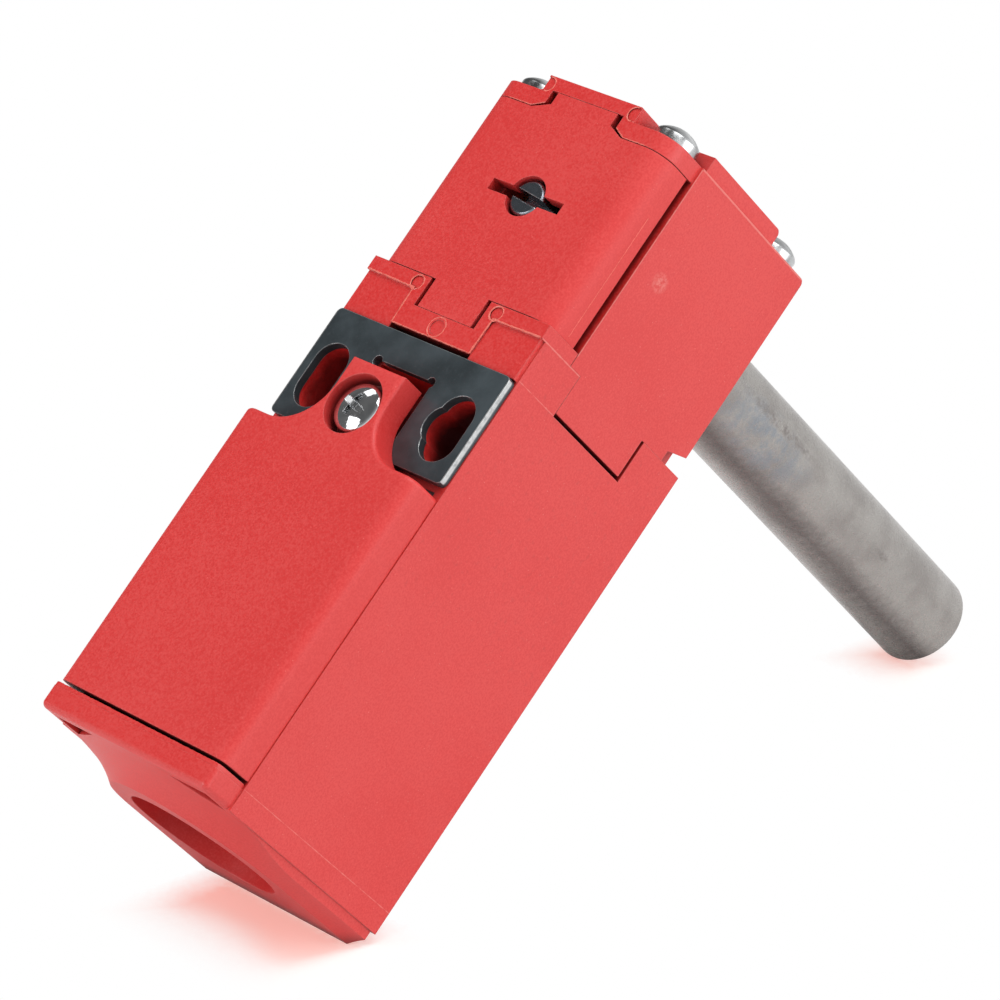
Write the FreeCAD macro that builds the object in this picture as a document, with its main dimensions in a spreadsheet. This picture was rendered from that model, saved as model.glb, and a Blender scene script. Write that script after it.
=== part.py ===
import FreeCAD, Part
import math
import os
import re
import Sketcher

# Safety hinge switch, in millimetres.
# The origin is on the shaft's axis, at the plane of the housing's back face.
# +X is to the right, +Y runs along the shaft away from the head, +Z points away from the conduit entry.
# A depth is a distance forward from the back face, so a depth d lies at y = -d.

SIZES = {
    # Housing
    "half_width": 12.25,
    "wall_front": 25.0,
    "side_wall": 2.0,
    "back_wall": 2.0,
    "joint_drop": 12.15,
    "body_height": 52.0,
    "flange_height": 2.3,
    "flange_reach": 4.15,
    "flange_inset": 0.2,
    "flange_wall": 1.8,
    "flange_round": 0.6,
    "floor_rise": 1.3,
    "neck_height": 4.7,
    "neck_step": 0.5,
    "rim_step": 0.7,
    "rim_height": 1.35,
    "leg_half": 5.55,
    "notch_half": 4.2,
    "notch_drop": 1.75,
    "bar_height": 2.35,
    "bar_undercut": 1.4,
    "tab_pocket": 1.6,
    "well_half": 5.0,
    "well_drop": 4.0,
    "mark_radius": 0.8,
    "mark_sink": 0.14,
    # Conduit boss
    "conduit_shift": 0.6,
    "conduit_radius": 8.0,
    "boss_wall": 2.4,
    "boss_height": 2.1,
    "boss_inset": 0.55,
    "flare_reach": 4.9,
    "flare_lead": 0.8,
    "corner_pocket": 1.6,
    # Fixing slots and mounting plate
    "plate_thickness": 0.95,
    "plate_height": 12.0,
    "plate_inset": 0.17,
    "plate_round": 0.6,
    "slot_inset": 3.35,
    "slot_share": 0.575,
    "slot_half": 1.4,
    "slot_radius": 2.15,
    "relief_share": 0.515,
    "relief_radius": 2.1,
    "tunnel_margin": 0.1,
    "window_half": 4.0,
    "window_drop": 3.35,
    "window_sill": 0.45,
    "window_web": 0.7,
    "window_sink": 5.0,
    "ear_radius": 0.55,
    # Front cover
    "cover_gap": 0.8,
    "cover_inset": 0.13,
    "cover_setback": 0.05,
    "shoulder_drop": 1.15,
    "cover_wall": 1.6,
    "cover_edge": 1.5,
    "tongue_wall": 0.4,
    "tongue_height": 8.4,
    "scoop_radius": 5.4,
    "scoop_edge": 0.5,
    "recess_gap": 0.45,
    "recess_drop": 4.3,
    "recess_web": 0.78,
    # Cover screw, its insert and the gasket
    "cover_head_radius": 2.75,
    "cover_head_height": 2.25,
    "cover_screw_radius": 1.5,
    "cover_screw_length": 6.2,
    "insert_wall": 0.7,
    "insert_length": 5.0,
    "gasket_width": 1.0,
    "gasket_thickness": 0.8,
    "gasket_drop": 0.5,
    # Head housing
    "head_inset": 0.62,
    "head_setback": 4.5,
    "head_wall": 2.35,
    "head_back_wall": 2.8,
    "cap_clearance": 0.4,
    "cap_thickness": 1.8,
    "cross_height": 1.7,
    "cross_half": 6.3,
    "cross_inset": 0.35,
    "cross_setback": 6.1,
    "cross_back": 6.75,
    "cross_round": 0.6,
    "head_rear_round": 0.6,
    "strip_round": 2.6,
    "strip_notch_half": 4.9,
    "strip_notch_rise": 2.1,
    "chamfer_run": 1.45,
    "chamfer_rise": 0.75,
    "tab_setback": 1.8,
    "tab_back": 7.05,
    "tab_drop": 4.15,
    "tab_thickness": 2.0,
    "tab_gap": 0.4,
    "pry_depth": 3.3,
    "pry_height": 1.1,
    "pry_slope": 1.0,
    "pry_width": 1.8,
    "pocket_sink": 0.35,
    "post_half": 1.5,
    "post_step": 0.2,
    # Head front panel
    "panel_inset": 0.3,
    "panel_gap": 0.75,
    "panel_wall": 1.5,
    "panel_side": 1.2,
    "panel_tab_gap": 0.5,
    "panel_crown_gap": 0.8,
    "panel_crown_spread": 0.6,
    "keyhole_gap": 0.3,
    "keyhole_half": 4.85,
    "keyhole_width": 1.22,
    "panel_boss_wall": 0.9,
    # Head screws
    "screw_inset": 3.0,
    "screw_setback": 3.4,
    "screw_back": 3.3,
    "screw_radius": 1.0,
    "screw_grip": 5.3,
    "screw_head_radius": 2.25,
    "screw_head_height": 2.45,
    "screw_head_gap": 0.15,
    "screw_tip_gap": 0.4,
    "pan_share": 0.72,
    "cross_slot_width": 0.75,
    "cross_slot_reach": 1.45,
    "cross_slot_sink": 1.1,
    # Shaft, its bearings and its seal
    "shaft_radius": 5.0,
    "bearing_step": 0.25,
    "shaft_reach": 56.0,
    "shaft_edge": 0.5,
    "shaft_gap": 0.35,
    "shaft_shoulder": 1.0,
    "journal_radius": 3.0,
    "journal_gap": 1.6,
    "stub_radius": 1.92,
    "stub_setback": 0.25,
    "stub_slot": 0.95,
    "stub_slot_sink": 2.0,
    "stub_edge": 0.22,
    "stub_angle": 7.0,
    "bush_wall": 1.5,
    "seal_gap": 0.2,
    "bush_boss_wall": 1.7,
    "bush_margin": 1.1,
    "seal_start": 0.9,
    "seal_length": 1.2,
    "running_fit": 0.04,
    "seat_fit": 0.02,
    # Cam and its fixings
    "cam_depth": 13.1,
    "cam_width": 7.0,
    "cam_wall": 1.35,
    "cam_gap": 0.2,
    "cam_lift": 2.2,
    "pin_radius": 1.1,
    "pin_setback": 0.3,
    "ring_thickness": 0.8,
    "ring_reach": 2.25,
    "ring_split": 1.6,
    "ring_groove": 0.7,
    "ring_gap": 0.3,
    # Plunger
    "plunger_radius": 2.0,
    "plunger_head_radius": 3.4,
    "plunger_head_height": 1.4,
    "plunger_gap": 0.55,
    "guide_wall": 1.5,
    "guide_length": 4.0,
    "boot_wall": 1.9,
    "boot_height": 1.3,
    "head_gasket_inset": 2.7,
    "head_gasket_margin": 0.2,
    "head_gasket_gap": 1.1,
    "head_gasket_thickness": 0.8,
    # Contact block
    "block_gap": 0.15,
    "block_drop": 1.0,
    "block_height": 23.0,
    "block_back_wall": 2.0,
    "block_side_wall": 1.7,
    "block_floor": 7.5,
    "block_setback": 4.5,
    # Moving contacts
    "carrier_half": 2.6,
    "carrier_wall": 0.8,
    "carrier_web": 0.18,
    "carrier_height": 8.5,
    "carrier_room": 1.95,
    "carrier_grip": 6.5,
    "carrier_sill": 1.0,
    "bridge_side_gap": 1.18,
    "bridge_margin": 0.1,
    "bridge_width": 2.4,
    "bridge_thickness": 0.6,
    "bridge_level": 3.4,
    "bridge_gap": 0.2,
    "contact_rise": 0.4,
    "contact_inset": 0.2,
    "spring_wire": 0.22,
    "contact_spring_radius": 0.85,
    "return_spring_radius": 1.7,
    "return_spring_wire": 0.28,
    "spring_turns": 5.0,
    "spring_clearance": 0.2,
    # Fixed contacts and terminals
    "strip_thickness": 0.6,
    "strip_width": 2.4,
    "terminal_gap": 0.45,
    "terminal_height": 6.2,
    "clamp_thickness": 0.9,
    "clamp_inset": 0.2,
    "terminal_screw_share": 0.285,
    "terminal_screw_length": 5.0,
    "terminal_head_share": 0.44,
    "terminal_head_height": 1.4,
    "terminal_slot": 0.5,
    # How far a cut runs past a face
    "overcut": 1.0,
}

# Levels, depths and half widths that follow from the sizes above
DERIVED = {
    "joint": "0 - joint_drop",
    "rim_top": "joint + rim_height",
    "flange_low": "joint - body_height",
    "flange_top": "flange_low + flange_height",
    "boss_low": "flange_low - boss_height",
    "cavity_low": "flange_top + floor_rise",
    "plate_top": "joint - neck_height",
    "plate_low": "plate_top - plate_height",
    "slot_level": "plate_top - plate_height * slot_share",
    "slot_x": "half_width - slot_inset",
    "tunnel_wall": "slot_x - slot_radius - tunnel_margin - well_half",
    "relief_x": "slot_x - slot_radius + relief_radius - relief_share * tunnel_wall",
    "cavity_half": "half_width - side_wall",
    "notch_low": "joint - notch_drop",
    "bar_low": "notch_low - bar_height",
    "conduit_depth": "wall_front / 2 + conduit_shift",
    "boss_radius": "conduit_radius + boss_wall",
    "flare_radius": "boss_radius + flare_reach",
    "pocket_outer": "flange_half - flange_wall / 1.5",
    "pocket_front": "flange_front - flange_wall",
    "pocket_inner": "sqrt(max(1; flare_radius ^ 2 - (pocket_front - conduit_depth) ^ 2))",
    "pocket_rear": "conduit_depth + sqrt(max(1; flare_radius ^ 2 - pocket_outer ^ 2))",
    "neck_front": "wall_front + neck_step",
    "rim_front": "wall_front + rim_step",
    "flange_front": "wall_front + flange_reach",
    "flange_half": "half_width - flange_inset",
    "plate_front": "wall_front + plate_thickness",
    "plate_half": "half_width - plate_inset",
    "window_top": "plate_top - window_drop",
    "window_low": "plate_low + window_sill",
    "cover_low": "flange_top + cover_gap",
    "shoulder": "plate_low - shoulder_drop",
    "tongue_top": "shoulder + tongue_height",
    "cover_front": "flange_front - cover_setback",
    "cover_back": "wall_front + seat_fit",
    "tongue_back": "plate_front + seat_fit",
    "cover_half": "half_width - cover_inset",
    "recess_level": "tongue_top - recess_drop",
    "recess_floor": "tongue_back + recess_web",
    "recess_radius": "cover_head_radius + recess_gap",
    "tongue_half": "recess_radius + tongue_wall",
    "insert_radius": "cover_screw_radius + insert_wall",
    "insert_start": "wall_front - insert_length",
    "gasket_back": "wall_front - gasket_thickness",
    "cavity_top": "shoulder - gasket_drop",
    "block_top": "shoulder - block_drop",
    "head_cavity_half": "half_width - head_wall",
    "head_cavity_back": "head_inset + head_back_wall",
    "head_front": "wall_front - head_setback",
    "cap_low": "cam_base + cam_lift + cap_clearance",
    "head_rise": "cap_low + cap_thickness",
    "cross_front": "rim_front - cross_setback",
    "tab_front": "head_front - tab_setback",
    "cross_top": "head_rise + cross_height",
    "pocket_floor": "head_rise - pocket_sink",
    "tab_low": "joint - tab_drop",
    "screw_x": "half_width - screw_inset",
    "screw_front": "rim_front - screw_setback",
    "screw_length": "pocket_floor - joint + screw_grip",
    "panel_half": "half_width - panel_inset",
    "panel_front": "rim_front",
    "panel_back": "head_front + panel_gap",
    "panel_low": "rim_top + running_fit + running_fit",
    "panel_top": "cap_low - running_fit - running_fit",
    "panel_inner": "panel_front - panel_wall",
    "panel_tab_half": "notch_half - panel_tab_gap",
    "panel_crown_half": "strip_notch_half - panel_crown_gap",
    "panel_boss_radius": "journal_radius + bush_wall + panel_boss_wall",
    "keyhole_radius": "stub_radius + keyhole_gap",
    "bearing_radius": "shaft_radius - bearing_step",
    "shaft_end": "cam_front + shaft_shoulder",
    "journal_end": "panel_inner - journal_gap",
    "stub_end": "panel_front - stub_setback",
    "front_bush_start": "shaft_end + ring_gap",
    "front_bush_end": "journal_end - bush_margin",
    "bush_start": "seal_start + seal_length + seal_gap",
    "bush_end": "ring_start - ring_gap",
    "ring_start": "cam_back - cam_gap - ring_thickness",
    "ring_outer": "bearing_radius + ring_reach",
    "cam_base": "bearing_radius + cam_wall",
    "cam_radius": "cam_base + cam_lift / 2",
    "cam_back": "cam_depth - cam_width / 2",
    "cam_front": "cam_back + cam_width",
    "plunger_top": "0 - cam_base - plunger_gap",
    "plunger_low": "carrier_top - carrier_grip",
    "guide_top": "joint - head_gasket_thickness",
    "well_top": "joint - well_drop",
    "head_gasket_half": "head_cavity_half - head_gasket_inset",
    "head_gasket_back": "screw_back + post_half",
    "head_gasket_front": "head_front - head_gasket_margin",
    "plunger_seal_radius": "plunger_radius + boot_wall",
    "block_low": "block_top - block_height",
    "block_half": "cavity_half - block_gap",
    "block_back": "back_wall + block_gap",
    "block_front": "wall_front - block_setback",
    "block_room_half": "block_half - block_side_wall",
    "block_floor_top": "block_low + block_floor",
    "carrier_top": "block_top - carrier_room",
    "carrier_depth_half": "bridge_pitch / 2 + bridge_width / 2 + bridge_margin + carrier_wall",
    "bridge_pitch": "bridge_width + 2 * (plunger_radius + seat_fit + carrier_web + bridge_margin)",
    "bridge_half": "strip_outer - strip_thickness - bridge_side_gap",
    "carrier_low": "carrier_top - carrier_height",
    "bridge_top": "carrier_top - bridge_level",
    "contact_low": "bridge_top + contact_rise + bridge_gap",
    "strip_outer": "block_room_half - seat_fit",
    "strip_inner": "return_spring_radius + return_spring_wire + spring_clearance",
    "terminal_pitch": "(2 * strip_outer + terminal_gap) / 4",
    "terminal_width": "terminal_pitch - terminal_gap",
    "terminal_screw_radius": "terminal_width * terminal_screw_share",
    "terminal_head_radius": "terminal_width * terminal_head_share",
    "terminal_level": "block_floor_top - terminal_height / 2",
    "terminal_back": "block_front + seat_fit",
    "clamp_back": "terminal_back + strip_thickness + seat_fit",
    "clamp_front": "clamp_back + clamp_thickness",
    "terminal_seat": "clamp_front + seat_fit",
}

document = FreeCAD.newDocument("SafetyHingeSwitch")
sheet = document.addObject("Spreadsheet::Sheet", "Sizes")
for row, (name, size) in enumerate(SIZES.items(), start=1):
    sheet.set(f"A{row}", name.replace("_", " "))
    sheet.set(f"B{row}", str(size))
    sheet.setAlias(f"B{row}", name)
document.recompute()

finished = []


# Expressions

def bound(text):
    """Turns size names in a formula into references to the sheet's cells."""
    def refer(found):
        word = found.group(0)
        if word in DERIVED:
            return "(" + bound(DERIVED[word]) + ")"
        if word in SIZES:
            return "Sizes." + word
        return word
    return re.sub(r"[a-z][a-z_]*", refer, str(text))


def number(text):
    """The present value of a formula."""
    def fill(found):
        word = found.group(0)
        if word in DERIVED:
            return repr(number(DERIVED[word]))
        return repr(float(sheet.get(word))) if word in SIZES else word
    plain = re.sub(r"[a-z][a-z_]*", fill, str(text))
    return float(sheet.evalExpression(plain))


def tie(thing, prop, text):
    """Binds a property to a formula of sheet cells."""
    thing.setExpression(prop, bound(text))


# Sketches

def origin_plane(body, role):
    """One of the body's own origin planes."""
    return [item for item in body.Origin.OriginFeatures if item.Role == role][0]


def sketch_on(body, name, side, offset):
    """A sketch on an origin plane of the body, moved along the plane's normal.

    The plane XZ_Plane faces the front, so its offset is a depth.
    """
    sketch = body.newObject("Sketcher::SketchObject", name)
    sketch.AttachmentSupport = [(origin_plane(body, side), "")]
    sketch.MapMode = "FlatFace"
    tie(sketch, "AttachmentOffset.Base.z", offset)
    return sketch


def hold(sketch, kind, geometry, point, text):
    """Holds a point of the sketch at a distance from the sketch's origin."""
    rule = Sketcher.Constraint(kind, -1, 1, geometry, point, number(text))
    tie(sketch, f"Constraints[{sketch.addConstraint(rule)}]", text)


def outline(sketch, corners):
    """Closed outline of straight lines through the given corners."""
    first = sketch.GeometryCount
    count = len(corners)
    points = [FreeCAD.Vector(number(across), number(along), 0) for across, along in corners]
    for place in range(count):
        line = Part.LineSegment(points[place], points[(place + 1) % count])
        sketch.addGeometry(line, False)
    for place in range(count):
        following = first + (place + 1) % count
        sketch.addConstraint(Sketcher.Constraint("Coincident", first + place, 2, following, 1))
    for place, (across, along) in enumerate(corners):
        hold(sketch, "DistanceX", first + place, 1, across)
        hold(sketch, "DistanceY", first + place, 1, along)


def coved(sketch, corners, centres):
    """Closed outline in which some sides are arcs, given by the place across of their centres."""
    count = len(corners)
    points = [FreeCAD.Vector(number(across), number(along), 0) for across, along in corners]
    ends = []
    for place in range(count):
        start, end = points[place], points[(place + 1) % count]
        if place not in centres:
            sketch.addGeometry(Part.LineSegment(start, end), False)
            ends.append((1, 2))
            continue
        across = number(centres[place])
        run = (start.x - across) ** 2 - (end.x - across) ** 2
        along = (start.y + end.y) / 2 + run / (2 * (start.y - end.y))
        radius = math.hypot(start.x - across, start.y - along)
        turn = [math.atan2(point.y - along, point.x - across) for point in (start, end)]
        ring = Part.Circle(FreeCAD.Vector(across, along, 0), FreeCAD.Vector(0, 0, 1), radius)
        sketch.addGeometry(Part.ArcOfCircle(ring, min(turn), max(turn)), False)
        ends.append((1, 2) if turn[0] < turn[1] else (2, 1))
    for place in range(count):
        following = (place + 1) % count
        rule = Sketcher.Constraint("Coincident", place, ends[place][1], following, ends[following][0])
        sketch.addConstraint(rule)
    for place, (across, along) in enumerate(corners):
        hold(sketch, "DistanceX", place, ends[place][0], across)
        hold(sketch, "DistanceY", place, ends[place][0], along)
    for place, across in centres.items():
        hold(sketch, "DistanceX", place, 3, across)


def rectangle(sketch, left, low, right, high):
    """Rectangle between two corners."""
    outline(sketch, [(left, low), (right, low), (right, high), (left, high)])


def circle(sketch, across, along, radius):
    """Circle with its centre and radius bound."""
    centre = FreeCAD.Vector(number(across), number(along), 0)
    made = sketch.addGeometry(Part.Circle(centre, FreeCAD.Vector(0, 0, 1), number(radius)), False)
    hold(sketch, "DistanceX", made, 3, across)
    hold(sketch, "DistanceY", made, 3, along)
    rule = sketch.addConstraint(Sketcher.Constraint("Radius", made, number(radius)))
    tie(sketch, f"Constraints[{rule}]", radius)


def upright_slot(sketch, across, along, half_length, radius):
    """Slot with round ends, standing along the sketch's second axis."""
    x, y = number(across), number(along)
    reach, size = number(half_length), number(radius)
    up = FreeCAD.Vector(0, 0, 1)
    high = FreeCAD.Vector(x, y + reach, 0)
    low = FreeCAD.Vector(x, y - reach, 0)
    side = FreeCAD.Vector(size, 0, 0)
    top = sketch.addGeometry(Part.ArcOfCircle(Part.Circle(high, up, size), 0, math.pi), False)
    left = sketch.addGeometry(Part.LineSegment(high - side, low - side), False)
    bottom = sketch.addGeometry(Part.ArcOfCircle(Part.Circle(low, up, size), math.pi, 2 * math.pi), False)
    right = sketch.addGeometry(Part.LineSegment(low + side, high + side), False)
    ring = [top, left, bottom, right]
    for place in range(4):
        sketch.addConstraint(Sketcher.Constraint("Tangent", ring[place], 2, ring[(place + 1) % 4], 1))
    sketch.addConstraint(Sketcher.Constraint("Equal", top, bottom))
    rule = sketch.addConstraint(Sketcher.Constraint("Radius", top, size))
    tie(sketch, f"Constraints[{rule}]", radius)
    for end, text in ((top, f"({along}) + ({half_length})"), (bottom, f"({along}) - ({half_length})")):
        hold(sketch, "DistanceX", end, 3, across)
        hold(sketch, "DistanceY", end, 3, text)


# Features

def new_body(name):
    """An empty body that will become one sub-part."""
    return document.addObject("PartDesign::Body", name + "_body")


def pad(body, sketch, length):
    """Adds material along the sketch's normal."""
    feature = body.newObject("PartDesign::Pad", sketch.Name + "_pad")
    feature.Profile = sketch
    tie(feature, "Length", length)
    sketch.Visibility = False
    document.recompute()
    return feature


def pocket(body, sketch, length):
    """Removes material against the sketch's normal."""
    before = body.Tip.Shape.Volume
    feature = body.newObject("PartDesign::Pocket", sketch.Name + "_pocket")
    feature.Profile = sketch
    tie(feature, "Length", length)
    document.recompute()
    if feature.Shape.Volume >= before:
        raise RuntimeError(f"{feature.Name} took nothing away")
    return feature


def pocket_forward(body, sketch, length):
    """Removes material along the sketch's normal."""
    before = body.Tip.Shape.Volume
    feature = body.newObject("PartDesign::Pocket", sketch.Name + "_pocket")
    feature.Profile = sketch
    feature.Reversed = True
    tie(feature, "Length", length)
    document.recompute()
    if feature.Shape.Volume >= before:
        raise RuntimeError(f"{feature.Name} took nothing away")
    return feature


def edges_where(shape, wanted):
    """Names of the edges whose middle point and direction pass the test."""
    names = []
    for place, edge in enumerate(shape.Edges, start=1):
        middle = edge.valueAt((edge.FirstParameter + edge.LastParameter) / 2)
        direction = edge.tangentAt((edge.FirstParameter + edge.LastParameter) / 2)
        if wanted(middle, direction):
            names.append(f"Edge{place}")
    return names


def round_off(body, name, radius, wanted):
    """Rounds the edges that pass the test."""
    base = body.Tip
    names = edges_where(base.Shape, wanted)
    if not names:
        raise RuntimeError(f"{name} finds no edge")
    feature = body.newObject("PartDesign::Fillet", name)
    feature.Base = (base, names)
    tie(feature, "Radius", radius)
    document.recompute()
    return feature


def near(value, text, slack=0.02):
    """Whether a coordinate lies at the value of a formula."""
    return abs(value - number(text)) < slack


def finish(thing, name):
    """Names a finished sub-part and notes it for writing."""
    thing.Label = name
    finished.append(thing)
    return thing


# Solids made from primitives

def box(name, left, right, back, front, low, high):
    """Box between two sides, two depths and two levels."""
    made = document.addObject("Part::Box", name)
    tie(made, "Length", f"({right}) - ({left})")
    tie(made, "Width", f"({front}) - ({back})")
    tie(made, "Height", f"({high}) - ({low})")
    tie(made, "Placement.Base.x", left)
    tie(made, "Placement.Base.y", f"0 - ({front})")
    tie(made, "Placement.Base.z", low)
    return made


def rod_forward(name, radius, back, front, across="0", level="0"):
    """Cylinder along the depth, from one depth to another."""
    made = document.addObject("Part::Cylinder", name)
    made.Placement.Rotation = FreeCAD.Rotation(FreeCAD.Vector(1, 0, 0), 90)
    tie(made, "Radius", radius)
    tie(made, "Height", f"({front}) - ({back})")
    tie(made, "Placement.Base.x", across)
    tie(made, "Placement.Base.y", f"0 - ({back})")
    tie(made, "Placement.Base.z", level)
    return made


def rod_upright(name, radius, low, high, across, depth):
    """Cylinder standing upright, from one level to another."""
    made = document.addObject("Part::Cylinder", name)
    tie(made, "Radius", radius)
    tie(made, "Height", f"({high}) - ({low})")
    tie(made, "Placement.Base.x", across)
    tie(made, "Placement.Base.y", f"0 - ({depth})")
    tie(made, "Placement.Base.z", low)
    return made


def joined(name, things):
    """One solid, or a group of solids, from several."""
    made = document.addObject("Part::MultiFuse", name)
    made.Shapes = things
    document.recompute()
    return made


def less(name, base, tools):
    """A solid with others taken away."""
    made = document.addObject("Part::Cut", name)
    made.Base = base
    made.Tool = tools[0] if len(tools) == 1 else joined(name + "_tools", tools)
    document.recompute()
    return made


def group(name, things):
    """Separate solids kept together in one node."""
    document.recompute()
    made = document.addObject("Part::Compound", name)
    made.Links = things
    document.recompute()
    return made


# Housing

def housing():
    """Moulded body with side walls, flange, conduit boss, neck, rim and fixing tunnels."""
    body = new_body("housing")
    block = sketch_on(body, "housing_block", "XZ_Plane", "0")
    rectangle(block, "0 - half_width", "flange_low", "half_width", "joint")
    pad(body, block, "wall_front")

    flange = sketch_on(body, "flange_bar", "XZ_Plane", "wall_front / 2")
    rectangle(flange, "0 - flange_half", "flange_low", "flange_half", "flange_top")
    pad(body, flange, "flange_front - wall_front / 2")

    neck = sketch_on(body, "neck_front_face", "XZ_Plane", "wall_front / 2")
    rectangle(neck, "0 - flange_half", "plate_top", "flange_half", "joint")
    pad(body, neck, "neck_front - wall_front / 2")

    rim = sketch_on(body, "rim_ribbon", "XZ_Plane", "head_front + running_fit + running_fit")
    outline(rim, [
        ("0 - half_width", "rim_top"), ("0 - half_width", "joint - mark_sink"),
        ("0 - leg_half", "joint - 2 * mark_sink"), ("0 - leg_half", "bar_low"),
        ("leg_half", "bar_low"), ("leg_half", "joint - 2 * mark_sink"),
        ("half_width", "joint - mark_sink"), ("half_width", "rim_top"),
    ])
    pad(body, rim, "rim_front - head_front - running_fit - running_fit")

    notch = sketch_on(body, "rim_notch", "XZ_Plane", "flange_front")
    rectangle(notch, "0 - notch_half", "notch_low", "notch_half", "rim_top + overcut")
    pocket(body, notch, "flange_front - rim_front + panel_wall + running_fit + tab_pocket")

    gap = sketch_on(body, "bar_undercut", "XZ_Plane", "neck_front + overcut")
    rectangle(gap, "0 - leg_half", "plate_top - mark_sink", "leg_half", "bar_low")
    pocket(body, gap, "overcut + neck_step + bar_undercut")

    marks = sketch_on(body, "rim_marks", "XZ_Plane", "rim_front + overcut")
    circle(marks, "0", "(bar_low + notch_low) / 2", "mark_radius")
    for across in ("0 - leg_half", "leg_half"):
        circle(marks, across, "joint + rim_height / 3", "mark_radius")
    pocket(body, marks, "overcut + mark_sink")

    front = sketch_on(body, "boss_front", "XZ_Plane", "conduit_depth")
    coved(front, [("0", "boss_low"), ("boss_radius", "boss_low"), ("flare_radius", "flange_low"),
                  ("0", "flange_low")], {1: "flare_radius + flare_lead"})
    turned = body.newObject("PartDesign::Revolution", "boss_flare")
    turned.Profile = front
    turned.ReferenceAxis = (front, ["V_Axis"])
    turned.Angle = 360.0
    document.recompute()

    rear = sketch_on(body, "boss_rear", "XZ_Plane", "boss_inset")
    coved(rear, [("0 - boss_radius", "boss_low"), ("boss_radius", "boss_low"), ("flare_radius", "flange_low"),
                 ("0 - flare_radius", "flange_low")],
          {1: "flare_radius + flare_lead", 3: "0 - flare_radius - flare_lead"})
    pad(body, rear, "conduit_depth - boss_inset")

    trim = sketch_on(body, "flare_trim", "XY_Plane", "flange_low")
    rectangle(trim, "0 - 2 * flare_radius", "0 - conduit_depth - 2 * flare_radius",
              "2 * flare_radius", "2 * flare_radius")
    rectangle(trim, "0 - flange_half", "0 - flange_front + flange_round", "flange_half", "0 - boss_inset")
    pocket(body, trim, "boss_height + overcut")

    cavity = sketch_on(body, "wiring_space", "XZ_Plane", "flange_front")
    rectangle(cavity, "0 - cavity_half", "cavity_low", "cavity_half", "cavity_top")
    pocket(body, cavity, "flange_front - back_wall")

    rebate = sketch_on(body, "gasket_rebate", "XZ_Plane", "flange_front")
    rectangle(rebate, "0 - cavity_half - gasket_width", "cavity_low - gasket_width",
              "cavity_half + gasket_width", "cavity_top + gasket_width")
    pocket(body, rebate, "flange_front - gasket_back")

    entry = sketch_on(body, "conduit_entry", "XY_Plane", "cavity_low + overcut")
    circle(entry, "0", "0 - conduit_depth", "conduit_radius")
    pocket(body, entry, "cavity_low - boss_low + 2 * overcut")

    for side, sign in (("left", "0 - "), ("right", "")):
        corner = sketch_on(body, f"flange_pocket_{side}", "XY_Plane", "flange_low + corner_pocket")
        outline(corner, [
            (f"{sign}pocket_outer", "0 - pocket_front"), (f"{sign}pocket_inner", "0 - pocket_front"),
            (f"{sign}pocket_outer", "0 - pocket_rear"),
        ])
        pocket(body, corner, "corner_pocket + boss_height / 8")
        tunnel = sketch_on(body, f"fixing_tunnel_{side}", "XZ_Plane", "wall_front + overcut")
        upright_slot(tunnel, f"{sign}slot_x", "slot_level", "slot_half", "slot_radius + tunnel_margin")
        pocket(body, tunnel, "wall_front + 2 * overcut")
    relief = sketch_on(body, "tunnel_relief", "XZ_Plane", "wall_front + overcut")
    circle(relief, "relief_x", "slot_level", "relief_radius + tunnel_margin")
    pocket(body, relief, "wall_front + 2 * overcut")
    for side, sign in (("left", "0 - "), ("right", "")):
        start = sketch_on(body, f"tab_pocket_{side}", "XY_Plane", "rim_top + overcut")
        inner = f"{sign}(half_width - tab_thickness - running_fit)"
        outer = f"{sign}(half_width + overcut)"
        outline(start, [
            (inner, "0 - tab_front - running_fit"), (outer, "0 - tab_front - running_fit"),
            (outer, "0 - tab_back + tab_gap"), (inner, "0 - tab_back + tab_gap"),
        ])
        pocket(body, start, "overcut + rim_height + tab_drop + tab_gap")

    well = sketch_on(body, "plunger_well", "XY_Plane", "well_top")
    rectangle(well, "0 - well_half", "0 - cam_depth - well_half", "well_half", "0 - cam_depth + well_half")
    pocket(body, well, "well_top - shoulder + overcut")

    guide = sketch_on(body, "guide_bore", "XY_Plane", "joint + overcut")
    circle(guide, "0", "0 - cam_depth", "plunger_radius + guide_wall + seat_fit")
    pocket(body, guide, "well_drop + 2 * overcut")

    seat = sketch_on(body, "head_gasket_seat", "XY_Plane", "joint + overcut")
    rectangle(seat, "0 - head_gasket_half", "0 - head_gasket_front",
              "head_gasket_half", "0 - head_gasket_back")
    pocket(body, seat, "overcut + head_gasket_thickness")

    behind = sketch_on(body, "window_recess", "XZ_Plane", "wall_front + overcut")
    rectangle(behind, "0 - window_half", "recess_level + insert_radius + window_web", "window_half",
              "window_top")
    pocket(body, behind, "overcut + window_sink")

    bore = sketch_on(body, "insert_bore", "XZ_Plane", "wall_front + overcut")
    circle(bore, "0", "recess_level", "insert_radius + seat_fit")
    pocket(body, bore, "overcut + insert_length")

    pilots = sketch_on(body, "head_screw_pilots", "XY_Plane", "rim_top + overcut")
    for across, depth in screw_places():
        circle(pilots, across, f"0 - {depth}", "screw_radius + seat_fit")
    pocket(body, pilots, "overcut + rim_height + screw_grip + screw_tip_gap")

    def lower_flange_edge(middle, direction):
        front = near(middle.z, "flange_low") and near(middle.y, "0 - flange_front")
        return front and abs(direction.x) > 0.9

    def flange_corner(middle, direction):
        upright = abs(direction.z) > 0.9 and near(middle.y, "0 - flange_front")
        return upright and near(abs(middle.x), "flange_half")

    round_off(body, "flange_low_edge", "flange_round", lower_flange_edge)
    round_off(body, "flange_corners", "flange_round", flange_corner)
    return finish(body, "housing")


# Front cover

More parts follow.
